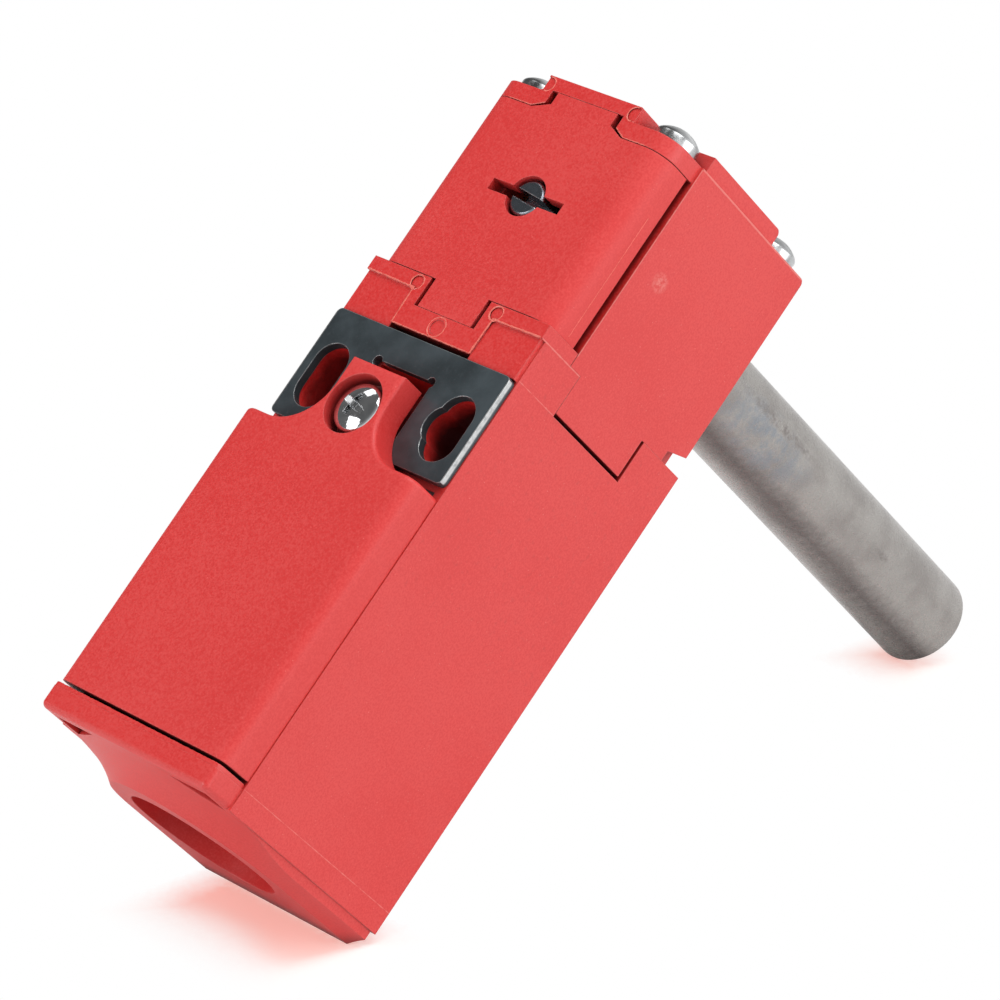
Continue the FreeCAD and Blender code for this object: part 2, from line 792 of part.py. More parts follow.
def front_cover():
    """Lid over the wiring space, with tongue, scoops and screw recess."""
    body = new_body("front_cover")
    plan = sketch_on(body, "cover_plan", "XZ_Plane", "cover_back")
    rectangle(plan, "0 - cover_half", "cover_low", "cover_half", "shoulder")
    pad(body, plan, "cover_front - cover_back")
    tongue = sketch_on(body, "cover_tongue", "XZ_Plane", "tongue_back")
    rectangle(tongue, "0 - tongue_half", "shoulder - cover_wall", "tongue_half", "tongue_top")
    pad(body, tongue, "cover_front - tongue_back")

    def scoop_corner(middle, direction):
        inner = near(abs(middle.x), "tongue_half") and near(middle.z, "shoulder")
        return inner and abs(direction.y) > 0.9 and middle.y < number("0 - tongue_back")

    round_off(body, "cover_scoops", "scoop_radius", scoop_corner)

    def upright_edge(middle, direction):
        return (abs(direction.z) > 0.9 and near(middle.y, "0 - cover_front")
                and near(abs(middle.x), "cover_half"))

    round_off(body, "cover_side_edges", "cover_edge", upright_edge)

    def tongue_front_edge(middle, direction):
        return near(middle.y, "0 - cover_front") and middle.z > number("shoulder - mark_sink")

    round_off(body, "cover_scoop_edges", "scoop_edge", tongue_front_edge)

    inside = sketch_on(body, "cover_inside", "XZ_Plane", "cover_back")
    rectangle(inside, "0 - cover_half + cover_wall", "cover_low + cover_wall",
              "cover_half - cover_wall", "shoulder - cover_wall")
    pocket_forward(body, inside, "cover_front - cover_back - cover_wall")

    recess = sketch_on(body, "cover_recess", "XZ_Plane", "cover_front + overcut")
    circle(recess, "0", "recess_level", "recess_radius")
    pocket(body, recess, "overcut + cover_front - recess_floor")
    hole = sketch_on(body, "cover_screw_hole", "XZ_Plane", "cover_front + overcut")
    circle(hole, "0", "recess_level", "cover_screw_radius + running_fit")
    pocket(body, hole, "cover_front - wall_front + 2 * overcut")
    return finish(body, "front_cover")


def cover_gasket():
    """Flat ring between the lid and the housing's walls."""
    outer = "cavity_half + gasket_width - seat_fit"
    low = "cavity_low - gasket_width + seat_fit"
    high = "cavity_top + gasket_width - seat_fit"
    solid = box("gasket_outer", f"0 - ({outer})", outer, "gasket_back + seat_fit", "wall_front", low, high)
    hole = box("gasket_inner", "0 - cavity_half", "cavity_half", "gasket_back - overcut",
               "wall_front + overcut", "cavity_low", "cavity_top")
    return finish(less("cover_gasket_ring", solid, [hole]), "cover_gasket")


def cover_insert():
    """Threaded insert for the lid's screw."""
    solid = rod_forward("insert_solid", "insert_radius", "insert_start", "wall_front - seat_fit",
                        "0", "recess_level")
    hole = rod_forward("insert_hole", "cover_screw_radius + seat_fit", "insert_start - overcut",
                       "wall_front + overcut", "0", "recess_level")
    return finish(less("insert_ring", solid, [hole]), "cover_insert")


# Screws

def pan_screw(name, plane, across, along, seat, head_radius, head_height, radius, length):
    """Pan-head screw with a cross recess, its head on the plane's outer side."""
    body = new_body(name)
    shank = sketch_on(body, name + "_shank", plane, f"({seat}) - ({length})")
    circle(shank, across, along, radius)
    pad(body, shank, length)
    head = sketch_on(body, name + "_head", plane, seat)
    circle(head, across, along, head_radius)
    pad(body, head, head_height)
    top = f"({seat}) + ({head_height})"

    def crown(middle, direction):
        height = middle.z if plane == "XY_Plane" else -middle.y
        return near(height, top)

    round_off(body, name + "_crown", f"({head_height}) * pan_share", crown)
    half, reach = "cross_slot_width / 2", "cross_slot_reach"
    recess = sketch_on(body, name + "_recess", plane, f"{top} + overcut")
    steps = [(half, half), (half, reach), (f"0 - {half}", reach), (f"0 - {half}", half),
             (f"0 - {reach}", half), (f"0 - {reach}", f"0 - {half}"), (f"0 - {half}", f"0 - {half}"),
             (f"0 - {half}", f"0 - {reach}"), (half, f"0 - {reach}"), (half, f"0 - {half}"),
             (reach, f"0 - {half}"), (reach, half)]
    outline(recess, [(f"({across}) + ({step})", f"({along}) + ({rise})") for step, rise in steps])
    pocket(body, recess, "overcut + cross_slot_sink")
    return body


def screw_places():
    """Places of the four head screws, as a place across and a depth."""
    depths = ("screw_front", "screw_back")
    return [(across, depth) for across in ("0 - screw_x", "screw_x") for depth in depths]


def cover_screw():
    """Screw that holds the lid."""
    made = pan_screw("lid_screw", "XZ_Plane", "0", "recess_level", "recess_floor", "cover_head_radius",
                     "cover_head_height", "cover_screw_radius", "cover_screw_length")
    return finish(made, "cover_screw")


def head_screws():
    """Four screws that hold the head on the housing."""
    screws = []
    for place, (across, depth) in enumerate(screw_places(), start=1):
        screws.append(pan_screw(f"head_screw_{place}", "XY_Plane", across, f"0 - {depth}", "pocket_floor",
                                "screw_head_radius", "screw_head_height", "screw_radius", "screw_length"))
    return finish(group("head_screw_set", screws), "head_screws")


# Mounting plate

def mounting_plate():
    """Pressed steel plate with two fixing slots, one widened towards the middle, and a window."""
    body = new_body("mounting_plate")
    sheet_metal = sketch_on(body, "plate_outline", "XZ_Plane", "wall_front + seat_fit")
    rectangle(sheet_metal, "0 - plate_half", "plate_low", "plate_half", "plate_top - running_fit")
    pad(body, sheet_metal, "plate_thickness - seat_fit")

    def corner(middle, direction):
        return abs(direction.y) > 0.9 and near(abs(middle.x), "plate_half")

    round_off(body, "plate_corners", "plate_round", corner)
    window = sketch_on(body, "plate_window", "XZ_Plane", "plate_front + overcut")
    rectangle(window, "0 - window_half", "window_low", "window_half", "window_top")
    pocket(body, window, "plate_thickness + 2 * overcut")
    ears = sketch_on(body, "plate_ears", "XZ_Plane", "plate_front + overcut")
    for across in ("0 - window_half + ear_radius / 2", "window_half - ear_radius / 2"):
        circle(ears, across, "window_top - ear_radius / 4", "ear_radius")
    pocket(body, ears, "plate_thickness + 2 * overcut")
    slots = sketch_on(body, "plate_slots", "XZ_Plane", "plate_front + overcut")
    for across in ("0 - slot_x", "slot_x"):
        upright_slot(slots, across, "slot_level", "slot_half", "slot_radius")
    pocket(body, slots, "plate_thickness + 2 * overcut")
    relief = sketch_on(body, "slot_relief", "XZ_Plane", "plate_front + overcut")
    circle(relief, "relief_x", "slot_level", "relief_radius")
    pocket(body, relief, "plate_thickness + 2 * overcut")
    return finish(body, "mounting_plate")


# Head

def head_housing():
    """Square head with side walls, back wall, cap, raised cross and side tabs."""
    body = new_body("head_housing")
    shell = sketch_on(body, "head_block", "XZ_Plane", "head_inset")
    rectangle(shell, "0 - half_width", "joint", "half_width", "head_rise")
    pad(body, shell, "head_front - head_inset")

    strip = sketch_on(body, "cap_strip", "XZ_Plane", "head_front - overcut")
    rectangle(strip, "0 - panel_half", "cap_low", "panel_half", "head_rise")
    pad(body, strip, "rim_front - head_front + overcut")

    def strip_corner(middle, direction):
        return (abs(direction.z) > 0.9 and near(middle.y, "0 - rim_front")
                and near(abs(middle.x), "panel_half"))

    round_off(body, "strip_corners", "strip_round", strip_corner)

    def rear_edge(middle, direction):
        return near(middle.y, "0 - head_inset") and near(middle.z, "head_rise")

    round_off(body, "head_rear_edge", "head_rear_round", rear_edge)

    lengthwise = sketch_on(body, "cross_long_arm", "XY_Plane", "cap_low + cap_thickness / 2")
    rectangle(lengthwise, "0 - cross_half", "0 - rim_front", "cross_half", "0 - head_inset")
    pad(body, lengthwise, "cap_thickness / 2 + cross_height")
    crosswise = sketch_on(body, "cross_wide_arm", "XY_Plane", "cap_low + cap_thickness / 2")
    rectangle(crosswise, "0 - half_width + cross_inset", "0 - cross_front",
              "half_width - cross_inset", "0 - cross_back")
    pad(body, crosswise, "cap_thickness / 2 + cross_height")

    def arm_corner(middle, direction):
        return abs(direction.x) > 0.9 and near(middle.z, "cross_top") and near(middle.y, "0 - cross_back")

    round_off(body, "cross_ends", "cross_round", arm_corner)

    for side, sign in (("left", "0 - "), ("right", "")):
        tab = sketch_on(body, f"side_tab_{side}", "XY_Plane", "tab_low")
        outline(tab, [
            (f"{sign}(half_width - tab_thickness)", "0 - tab_front"), (f"{sign}half_width", "0 - tab_front"),
            (f"{sign}half_width", "0 - tab_back"), (f"{sign}(half_width - tab_thickness)", "0 - tab_back"),
        ])
        pad(body, tab, "tab_drop + overcut")

    room = sketch_on(body, "head_room", "XZ_Plane", "head_front + overcut")
    rectangle(room, "0 - head_cavity_half", "tab_low - overcut", "head_cavity_half", "cap_low")
    pocket(body, room, "head_front + overcut - head_cavity_back")

    for across, side in (("0 - screw_x", "left"), ("screw_x", "right")):
        for depth, end in (("screw_front", "front"), ("screw_back", "back")):
            low = "panel_low" if end == "front" else "joint"
            room = "panel_half - panel_side - post_step - screw_x"
            near_wall = room if end == "front" else "screw_inset - head_wall + post_step"
            post = sketch_on(body, f"screw_post_{side}_{end}", "XY_Plane", low)
            reach = "post_half" if end == "front" else "post_half + post_step"
            inward = f"({across}) - ({near_wall})" if side == "left" else f"({across}) - ({reach})"
            outward = f"({across}) + ({reach})" if side == "left" else f"({across}) + ({near_wall})"
            front = f"0 - ({depth}) - ({reach})"
            back = "0 - head_front + overcut" if end == "front" else "0 - head_cavity_back + post_step"
            outline(post, [(inward, front), (outward, front), (outward, back), (inward, back)])
            pad(body, post, f"cap_low + cap_thickness / 2 - ({low})")

    boss = sketch_on(body, "bush_boss", "XZ_Plane", "head_cavity_back - post_step")
    circle(boss, "0", "0", "shaft_radius + bush_wall + bush_boss_wall")
    pad(body, boss, "bush_end - head_cavity_back + post_step")
    bush_bore = sketch_on(body, "bush_bore", "XZ_Plane", "bush_end + overcut")
    circle(bush_bore, "0", "0", "shaft_radius + bush_wall + seat_fit")
    pocket(body, bush_bore, "bush_end + overcut - seal_start")
    outlet = sketch_on(body, "shaft_outlet", "XZ_Plane", "bush_end + overcut")
    circle(outlet, "0", "0", "shaft_radius + shaft_gap")
    pocket(body, outlet, "bush_end + 2 * overcut")

    crown = sketch_on(body, "strip_notch", "XZ_Plane", "rim_front + overcut")
    outline(crown, [
        ("0 - strip_notch_half - chamfer_run", "cap_low - post_step"),
        ("0 - strip_notch_half - chamfer_run", "cap_low"),
        ("0 - strip_notch_half", "cap_low + chamfer_rise"),
        ("0 - strip_notch_half", "cap_low + strip_notch_rise"),
        ("strip_notch_half", "cap_low + strip_notch_rise"),
        ("strip_notch_half", "cap_low + chamfer_rise"),
        ("strip_notch_half + chamfer_run", "cap_low"),
        ("strip_notch_half + chamfer_run", "cap_low - post_step"),
    ])
    pocket(body, crown, "overcut + panel_wall + 2 * running_fit")

    for side, start in (("left", "0 - half_width + pry_width"), ("right", "half_width + overcut")):
        pry = sketch_on(body, f"pry_gap_{side}", "YZ_Plane", start)
        outline(pry, [
            ("0 - pry_depth", "joint - overcut"), ("0 - pry_depth", "joint + pry_height"),
            ("0", "joint + pry_height + pry_slope"), ("0", "joint - overcut"),
        ])
        pocket(body, pry, "pry_width + overcut")

    seats = sketch_on(body, "screw_pockets", "XY_Plane", "cross_top + overcut")
    holes = sketch_on(body, "head_screw_holes", "XY_Plane", "cross_top + overcut")
    for across, depth in screw_places():
        circle(seats, across, f"0 - {depth}", "screw_head_radius + screw_head_gap")
        circle(holes, across, f"0 - {depth}", "screw_radius + running_fit")
    pocket(body, seats, "cross_top + overcut - pocket_floor")
    pocket(body, holes, "cross_top - joint + 2 * overcut")

    marks = sketch_on(body, "strip_marks", "XZ_Plane", "rim_front + overcut")
    for across in ("0 - cross_half + mark_radius / 2", "cross_half - mark_radius / 2"):
        circle(marks, across, "head_rise + mark_radius", "mark_radius")
    pocket(body, marks, "overcut + mark_sink")
    return finish(body, "head_housing")


def head_front_panel():
    """Panel with a keyhole, locked by a tab at the top and a tab at the bottom."""
    body = new_body("head_front_panel")
    face = sketch_on(body, "panel_face", "XZ_Plane", "panel_back")
    rectangle(face, "0 - panel_half", "panel_low", "panel_half", "panel_top")
    pad(body, face, "panel_front - panel_back")

    def side_edge(middle, direction):
        return abs(direction.z) > 0.9 and near(middle.y, "0 - panel_front")

    round_off(body, "panel_sides", "strip_round", side_edge)

    tray = sketch_on(body, "panel_tray", "XZ_Plane", "panel_back")
    rectangle(tray, "0 - panel_half + panel_side", "panel_low - overcut",
              "panel_half - panel_side", "panel_top + overcut")
    pocket_forward(body, tray, "panel_inner - panel_back")

    tabs = sketch_on(body, "panel_lower_tab", "XZ_Plane", "panel_inner")
    rectangle(tabs, "0 - panel_tab_half", "notch_low + running_fit", "panel_tab_half", "panel_low + overcut")
    pad(body, tabs, "panel_wall")
    crown = sketch_on(body, "panel_upper_tab", "XZ_Plane", "panel_inner")
    outline(crown, [
        ("0 - panel_crown_half - chamfer_run - panel_crown_spread", "panel_top"),
        ("0 - panel_crown_half", "cap_low + chamfer_rise"),
        ("0 - panel_crown_half", "cap_low + strip_notch_rise - running_fit"),
        ("panel_crown_half", "cap_low + strip_notch_rise - running_fit"),
        ("panel_crown_half", "cap_low + chamfer_rise"),
        ("panel_crown_half + chamfer_run + panel_crown_spread", "panel_top"),
        ("panel_crown_half", "panel_top - overcut"), ("0 - panel_crown_half", "panel_top - overcut"),
    ])
    pad(body, crown, "panel_wall")

    boss = sketch_on(body, "front_bush_boss", "XZ_Plane", "front_bush_start")
    circle(boss, "0", "0", "panel_boss_radius")
    pad(body, boss, "panel_inner - front_bush_start + post_step")
    bore = sketch_on(body, "front_bush_bore", "XZ_Plane", "front_bush_start")
    circle(bore, "0", "0", "journal_radius + bush_wall + seat_fit")
    pocket_forward(body, bore, "panel_inner - front_bush_start")

    hole = sketch_on(body, "keyhole_circle", "XZ_Plane", "panel_front + overcut")
    circle(hole, "0", "0", "keyhole_radius")
    pocket(body, hole, "panel_wall + 2 * overcut")
    slot = sketch_on(body, "keyhole_slot", "XZ_Plane", "panel_front + overcut")
    rectangle(slot, "0 - keyhole_half", "0 - keyhole_width / 2", "keyhole_half", "keyhole_width / 2")
    pocket(body, slot, "panel_wall + overcut + post_step")
    return finish(body, "head_front_panel")


def head_gasket():
    """Square seal between the head and the housing."""
    outer = "head_gasket_half - seat_fit"
    solid = box("head_gasket_outer", f"0 - ({outer})", outer, "head_gasket_back + seat_fit",
                "head_gasket_front - seat_fit", "joint - head_gasket_thickness + seat_fit",
                "joint - seat_fit")
    hole = rod_upright("head_gasket_hole", "plunger_seal_radius + head_gasket_gap",
                       "joint - head_gasket_thickness - overcut", "joint + overcut", "0", "cam_depth")
    return finish(less("head_gasket_ring", solid, [hole]), "head_gasket")


# Shaft set

def ring_forward(name, inner, outer, back, front):
    """Ring round the shaft's axis."""
    solid = rod_forward(name + "_outer", outer, back, front)
    hole = rod_forward(name + "_inner", inner, f"({back}) - overcut", f"({front}) + overcut")
    return less(name + "_ring", solid, [hole])


def shaft_bush_rear():
    """Bearing of the shaft in the head's back wall."""
    return finish(ring_forward("rear_bush", "bearing_radius + running_fit", "shaft_radius + bush_wall",
                               "bush_start", "bush_end"), "shaft_bush_rear")


def shaft_bush_front():
    """Bearing of the shaft's front end, in the panel."""
    return finish(ring_forward("front_bush", "journal_radius + running_fit", "journal_radius + bush_wall",
                               "front_bush_start", "front_bush_end"), "shaft_bush_front")


def shaft_seal():
    """Ring seal behind the rear bearing."""
    return finish(ring_forward("rear_seal", "bearing_radius + running_fit", "shaft_radius + bush_wall",
                               "seal_start + seat_fit", "seal_start + seal_length"), "shaft_seal")


def shaft():
    """Turned shaft with journal, slotted stub, ring groove and pin hole."""
    body = new_body("shaft")
    profile = sketch_on(body, "shaft_profile", "YZ_Plane", "0")
    outline(profile, [
        ("shaft_reach", "0"), ("shaft_reach", "shaft_radius"),
        ("0", "shaft_radius"), ("0", "bearing_radius"),
        ("0 - ring_start", "bearing_radius"), ("0 - ring_start", "bearing_radius - ring_groove"),
        ("0 - ring_start - ring_thickness - running_fit", "bearing_radius - ring_groove"),
        ("0 - ring_start - ring_thickness - running_fit", "bearing_radius"),
        ("0 - shaft_end", "bearing_radius"), ("0 - shaft_end", "journal_radius"),
        ("0 - journal_end", "journal_radius"), ("0 - journal_end", "stub_radius"),
        ("0 - stub_end + stub_edge", "stub_radius"), ("0 - stub_end", "stub_radius - stub_edge"),
        ("0 - stub_end", "0"),
    ])
    turned = body.newObject("PartDesign::Revolution", "shaft_turned")
    turned.Profile = profile
    turned.ReferenceAxis = (profile, ["H_Axis"])
    turned.Angle = 360.0
    document.recompute()

    def tip_edge(middle, direction):
        return near(middle.y, "shaft_reach")

    round_off(body, "shaft_tip", "shaft_edge", tip_edge)
    slot = sketch_on(body, "stub_slot_cut", "XZ_Plane", "stub_end + overcut")
    slot.AttachmentOffset = FreeCAD.Placement(
        slot.AttachmentOffset.Base, FreeCAD.Rotation(FreeCAD.Vector(0, 0, 1), 0))
    tie(slot, "AttachmentOffset.Rotation.Angle", "0 - stub_angle")
    tie(slot, "AttachmentOffset.Base.z", "stub_end + overcut")
    rectangle(slot, "0 - stub_radius - overcut", "0 - stub_slot / 2",
              "stub_radius + overcut", "stub_slot / 2")
    pocket(body, slot, "overcut + stub_slot_sink")
    cross = sketch_on(body, "shaft_pin_hole", "XY_Plane", "bearing_radius + overcut")
    circle(cross, "0", "0 - cam_depth", "pin_radius + seat_fit")
    pocket(body, cross, "2 * bearing_radius + 2 * overcut")
    return finish(body, "shaft")


def cam():
    """Eccentric disc on the shaft, which pushes least at rest and most after half a turn."""
    disc = rod_forward("cam_disc", "cam_radius", "cam_back", "cam_front", "0", "cam_lift / 2")
    bore = rod_forward("cam_bore", "bearing_radius + seat_fit", "cam_back - overcut", "cam_front + overcut")
    hole = rod_upright("cam_pin_hole", "pin_radius + seat_fit", "0 - 2 * cam_radius", "2 * cam_radius",
                       "0", "cam_depth")
    return finish(less("cam_solid", disc, [bore, hole]), "cam")


def cam_pin():
    """Pin through the cam and the shaft."""
    reach = "cam_base - pin_setback"
    pin = rod_upright("pin_solid", "pin_radius", f"0 - ({reach})", reach, "0", "cam_depth")
    return finish(pin, "cam_pin")


def retaining_ring():
    """Split ring in the shaft's groove, in front of the rear bearing."""
    solid = ring_forward("snap_ring", "bearing_radius - ring_groove + seat_fit", "ring_outer",
                         "ring_start + seat_fit", "ring_start + ring_thickness")
    gap = box("snap_gap", "0 - ring_split", "ring_split", "ring_start - overcut",
              "ring_start + ring_thickness + overcut", "0", "ring_outer + overcut")
    return finish(less("snap_ring_split", solid, [gap]), "retaining_ring")


# Plunger set

def ring_upright(name, inner, outer, low, high):
    """Ring round the plunger's axis."""
    solid = rod_upright(name + "_outer", outer, low, high, "0", "cam_depth")
    hole = rod_upright(name + "_inner", inner, f"({low}) - overcut", f"({high}) + overcut", "0", "cam_depth")
    return less(name + "_ring", solid, [hole])


def plunger():
    """Pin with a flat head under the cam."""
    head = rod_upright("plunger_head", "plunger_head_radius", "plunger_top - plunger_head_height",
                       "plunger_top", "0", "cam_depth")
    stem = rod_upright("plunger_stem", "plunger_radius", "plunger_low",
                       "plunger_top - plunger_head_height / 2", "0", "cam_depth")
    return finish(joined("plunger_solid", [head, stem]), "plunger")


def plunger_guide():
    """Bearing of the plunger in the housing's top wall."""
    return finish(ring_upright("guide_bush", "plunger_radius + running_fit", "plunger_radius + guide_wall",
                               "guide_top - guide_length", "guide_top"), "plunger_guide")


def plunger_seal():
    """Rubber ring seal on top of the plunger's bearing."""
    return finish(ring_upright("plunger_boot", "plunger_radius + running_fit", "plunger_seal_radius",
                               "guide_top + seat_fit", "guide_top + boot_height"), "plunger_seal")


def bridge_depths():
    """Depths of the two contact bridges."""
    return ("cam_depth - bridge_pitch / 2", "cam_depth + bridge_pitch / 2")


def bridge_carrier():
    """Block on the plunger's lower end, with a window for each bridge."""
    solid = box("carrier_block", "0 - carrier_half", "carrier_half", "cam_depth - carrier_depth_half",
                "cam_depth + carrier_depth_half", "carrier_low", "carrier_top")
    tools = [rod_upright("carrier_bore", "plunger_radius + seat_fit", "plunger_low", "carrier_top + overcut",
                         "0", "cam_depth")]
    half = "(bridge_width / 2 + bridge_margin)"
    for place, depth in enumerate(bridge_depths(), start=1):
        tools.append(box(f"carrier_window_{place}", "0 - carrier_half - overcut", "carrier_half + overcut",
                         f"({depth}) - {half}", f"({depth}) + {half}",
                         "carrier_low + carrier_sill", "bridge_top + seat_fit"))
    return finish(less("carrier_solid", solid, tools), "bridge_carrier")


def contact_bridges():
    """Two contact bars with a raised contact at each end."""
    bars = []
    for place, depth in enumerate(bridge_depths(), start=1):
        bar = box(f"bridge_bar_{place}", "0 - bridge_half", "bridge_half", f"({depth}) - bridge_width / 2",
                  f"({depth}) + bridge_width / 2", "bridge_top - bridge_thickness", "bridge_top")
        bars.append(bar)
        for side, sign in (("left", "0 - "), ("right", "")):
            button = rod_upright(f"bridge_contact_{side}_{place}", "bridge_width / 2 - contact_inset",
                                 "bridge_top - bridge_thickness", "bridge_top + contact_rise",
                                 f"{sign}(bridge_half - bridge_width / 2)", depth)
            bars.append(button)
    return finish(joined("bridge_set", bars), "contact_bridges")


def coil(name, radius, wire, low, high, across, depth):
    """Helical spring standing between two levels."""
    helix = document.addObject("Part::Helix", name + "_helix")
    tie(helix, "Radius", radius)
    tie(helix, "Height", f"({high}) - ({low}) - 2 * ({wire})")
    tie(helix, "Pitch", f"(({high}) - ({low}) - 2 * ({wire})) / spring_turns")
    tie(helix, "Placement.Base.x", across)
    tie(helix, "Placement.Base.y", f"0 - ({depth})")
    tie(helix, "Placement.Base.z", f"({low}) + ({wire})")
    section = document.addObject("Part::Circle", name + "_section")
    section.Placement.Rotation = FreeCAD.Rotation(FreeCAD.Vector(1, 0, 0), 90)
    tie(section, "Radius", wire)
    tie(section, "Placement.Base.x", f"({across}) + ({radius})")
    tie(section, "Placement.Base.y", f"0 - ({depth})")
    tie(section, "Placement.Base.z", f"({low}) + ({wire})")
    document.recompute()
    sweep = document.addObject("Part::Sweep", name + "_sweep")
    sweep.Sections = [section]
    sweep.Spine = (helix, [f"Edge{place}" for place in range(1, len(helix.Shape.Edges) + 1)])
    sweep.Solid = True
    sweep.Frenet = True
    document.recompute()
    return sweep


def contact_springs():
    """A small spring under each bridge."""
    springs = []
    for place, depth in enumerate(bridge_depths(), start=1):
        springs.append(coil(f"bridge_spring_{place}", "contact_spring_radius", "spring_wire",
                            "carrier_low + carrier_sill + seat_fit",
                            "bridge_top - bridge_thickness - seat_fit", "0", depth))
    return finish(group("bridge_spring_set", springs), "contact_springs")


def return_spring():
    """Spring that lifts the plunger back."""
    spring = coil("lift_spring", "return_spring_radius", "return_spring_wire", "block_floor_top + seat_fit",
                  "carrier_low - seat_fit", "0", "cam_depth")
    return finish(spring, "return_spring")


# Fixed contacts

def contact_block():
    """Open-fronted moulded block that carries the fixed contacts."""
    body = new_body("contact_block")
    solid = sketch_on(body, "block_outline", "XZ_Plane", "block_back")
    rectangle(solid, "0 - block_half", "block_low", "block_half", "block_top")
    pad(body, solid, "block_front - block_back")
    room = sketch_on(body, "block_room", "XZ_Plane", "block_front + overcut")
    rectangle(room, "0 - block_room_half", "block_floor_top", "block_room_half", "block_top + overcut")
    pocket(body, room, "block_front + overcut - block_back - block_back_wall")
    holes = sketch_on(body, "terminal_holes", "XZ_Plane", "block_front + overcut")
    for across in terminal_places():
        circle(holes, across, "terminal_level", "terminal_screw_radius + seat_fit")
    pocket(body, holes, "overcut + terminal_screw_length")
    return finish(body, "contact_block")


def terminal_places():
    """Places of the four terminals across the block."""
    return tuple(f"terminal_pitch * {share}" for share in ("(0 - 1.5)", "(0 - 0.5)", "0.5", "1.5"))


def fixed_contacts():
    """Four bent strips, each from a bridge's end to its terminal."""
    strips = []
    rear, front = bridge_depths()
    for side, sign, inner_place, outer_place in (("left", "0 - ", 1, 0), ("right", "", 2, 3)):
        places = terminal_places()
        strips.append(fixed_contact(f"{side}_rear", sign, rear, places[inner_place], f"{sign}strip_inner"))
        edge = f"({places[outer_place]}) - ({sign}terminal_width / 2)"
        strips.append(fixed_contact(f"{side}_front", sign, front, places[outer_place], edge))
    return finish(group("fixed_contact_set", strips), "fixed_contacts")


def between(name, one, other, back, front, low, high):
    """Box between two places across, given in either order."""
    left, right = sorted((one, other), key=number)
    return box(name, left, right, back, front, low, high)


def fixed_contact(name, sign, depth, terminal, run_edge):
    """Strip with a contact tab over the bridge, a leg, a foot on the floor and a terminal face."""
    back = f"({depth}) - strip_width / 2"
    front = f"({depth}) + strip_width / 2"
    wall = f"{sign}strip_outer"
    outer = f"({terminal}) + ({sign}terminal_width / 2)"
    inner = f"({terminal}) - ({sign}terminal_width / 2)"
    floor = "block_floor_top + seat_fit"
    floor_top = f"{floor} + strip_thickness"
    tab_top = "contact_low + strip_thickness"
    tab_end = f"{sign}(bridge_half - bridge_width)"
    face_front = "terminal_back + strip_thickness"
    pieces = [
        between(f"{name}_tab", wall, tab_end, back, front, "contact_low", tab_top),
        between(f"{name}_leg", wall, f"{sign}(strip_outer - strip_thickness)", back, front, floor, tab_top),
        between(f"{name}_foot", wall, run_edge, back, front, floor, floor_top),
        between(f"{name}_run", outer, run_edge, back, face_front, floor, floor_top),
        between(f"{name}_face", outer, inner, "terminal_back", face_front,
                f"{floor} - terminal_height", floor_top),
    ]
    hole = rod_forward(f"{name}_hole", "terminal_screw_radius + seat_fit", "terminal_back - overcut",
                       "clamp_back + overcut", terminal, "terminal_level")
    return less(f"{name}_strip", joined(f"{name}_bent", pieces), [hole])


def terminal_clamps():
    """Clamp plate under the head of each terminal screw."""
    clamps = []
    half = "(terminal_width / 2 - clamp_inset)"
    rise = "(terminal_height / 2 - clamp_inset)"
    for place, across in enumerate(terminal_places(), start=1):
        plate = box(f"clamp_plate_{place}", f"({across}) - {half}", f"({across}) + {half}", "clamp_back",
                    "clamp_front", f"terminal_level - {rise}", f"terminal_level + {rise}")
        hole = rod_forward(f"clamp_hole_{place}", "terminal_screw_radius + seat_fit", "clamp_back - overcut",
                           "clamp_front + overcut", across, "terminal_level")
        clamps.append(less(f"clamp_{place}", plate, [hole]))
    return finish(group("clamp_set", clamps), "terminal_clamps")


def terminal_screws():
    """Screw of each terminal, with a plain slot."""
    screws = []
    top = "terminal_seat + terminal_head_height"
    for place, across in enumerate(terminal_places(), start=1):
        head = rod_forward(f"terminal_head_{place}", "terminal_head_radius", "terminal_seat", top,
                           across, "terminal_level")
        shank = rod_forward(f"terminal_shank_{place}", "terminal_screw_radius",
                            "terminal_seat - terminal_screw_length", "terminal_seat",
                            across, "terminal_level")
        slot = box(f"terminal_slot_{place}", f"({across}) - terminal_head_radius - overcut",
                   f"({across}) + terminal_head_radius + overcut", f"{top} - terminal_head_height / 2",
                   f"{top} + overcut", "terminal_level - terminal_slot / 2",
                   "terminal_level + terminal_slot / 2")
        whole = joined(f"terminal_whole_{place}", [head, shank])
        screws.append(less(f"terminal_screw_{place}", whole, [slot]))
    return finish(group("terminal_screw_set", screws), "terminal_screws")


# Build every sub-part, check it and write it

def build():
    """Makes all sub-parts in order."""
    for make in (housing, front_cover, cover_gasket, cover_insert, cover_screw, mounting_plate,
                 head_housing, head_front_panel, head_screws, head_gasket,
                 shaft_bush_rear, shaft_bush_front, shaft_seal, shaft, cam, cam_pin, retaining_ring,
                 plunger, plunger_guide, plunger_seal, bridge_carrier, contact_bridges,
                 contact_springs, return_spring, contact_block, fixed_contacts,
                 terminal_clamps, terminal_screws):
        make()
    document.recompute()


def check():
    """Stops if any object failed or any finished shape is empty or broken."""
    for thing in document.Objects:
        if "Invalid" in thing.State or "Error" in thing.State:
            raise RuntimeError(f"{thing.Name} is {thing.State}")
    for thing in finished:
        if thing.Shape.isNull() or not thing.Shape.isValid():
            raise RuntimeError(f"{thing.Label} has no valid shape")


def write():
    """Writes each sub-part to its own file."""
    os.makedirs("parts", exist_ok=True)
    for thing in finished:
        thing.Shape.exportStep(os.path.join("parts", thing.Label + ".step"))


build()
check()
write()
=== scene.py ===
"""Dresses the safety hinge switch: finishes, moulding detail, camera, floor and light."""
import logging
import math
import random
from dataclasses import dataclass
from enum import Enum
from typing import Union

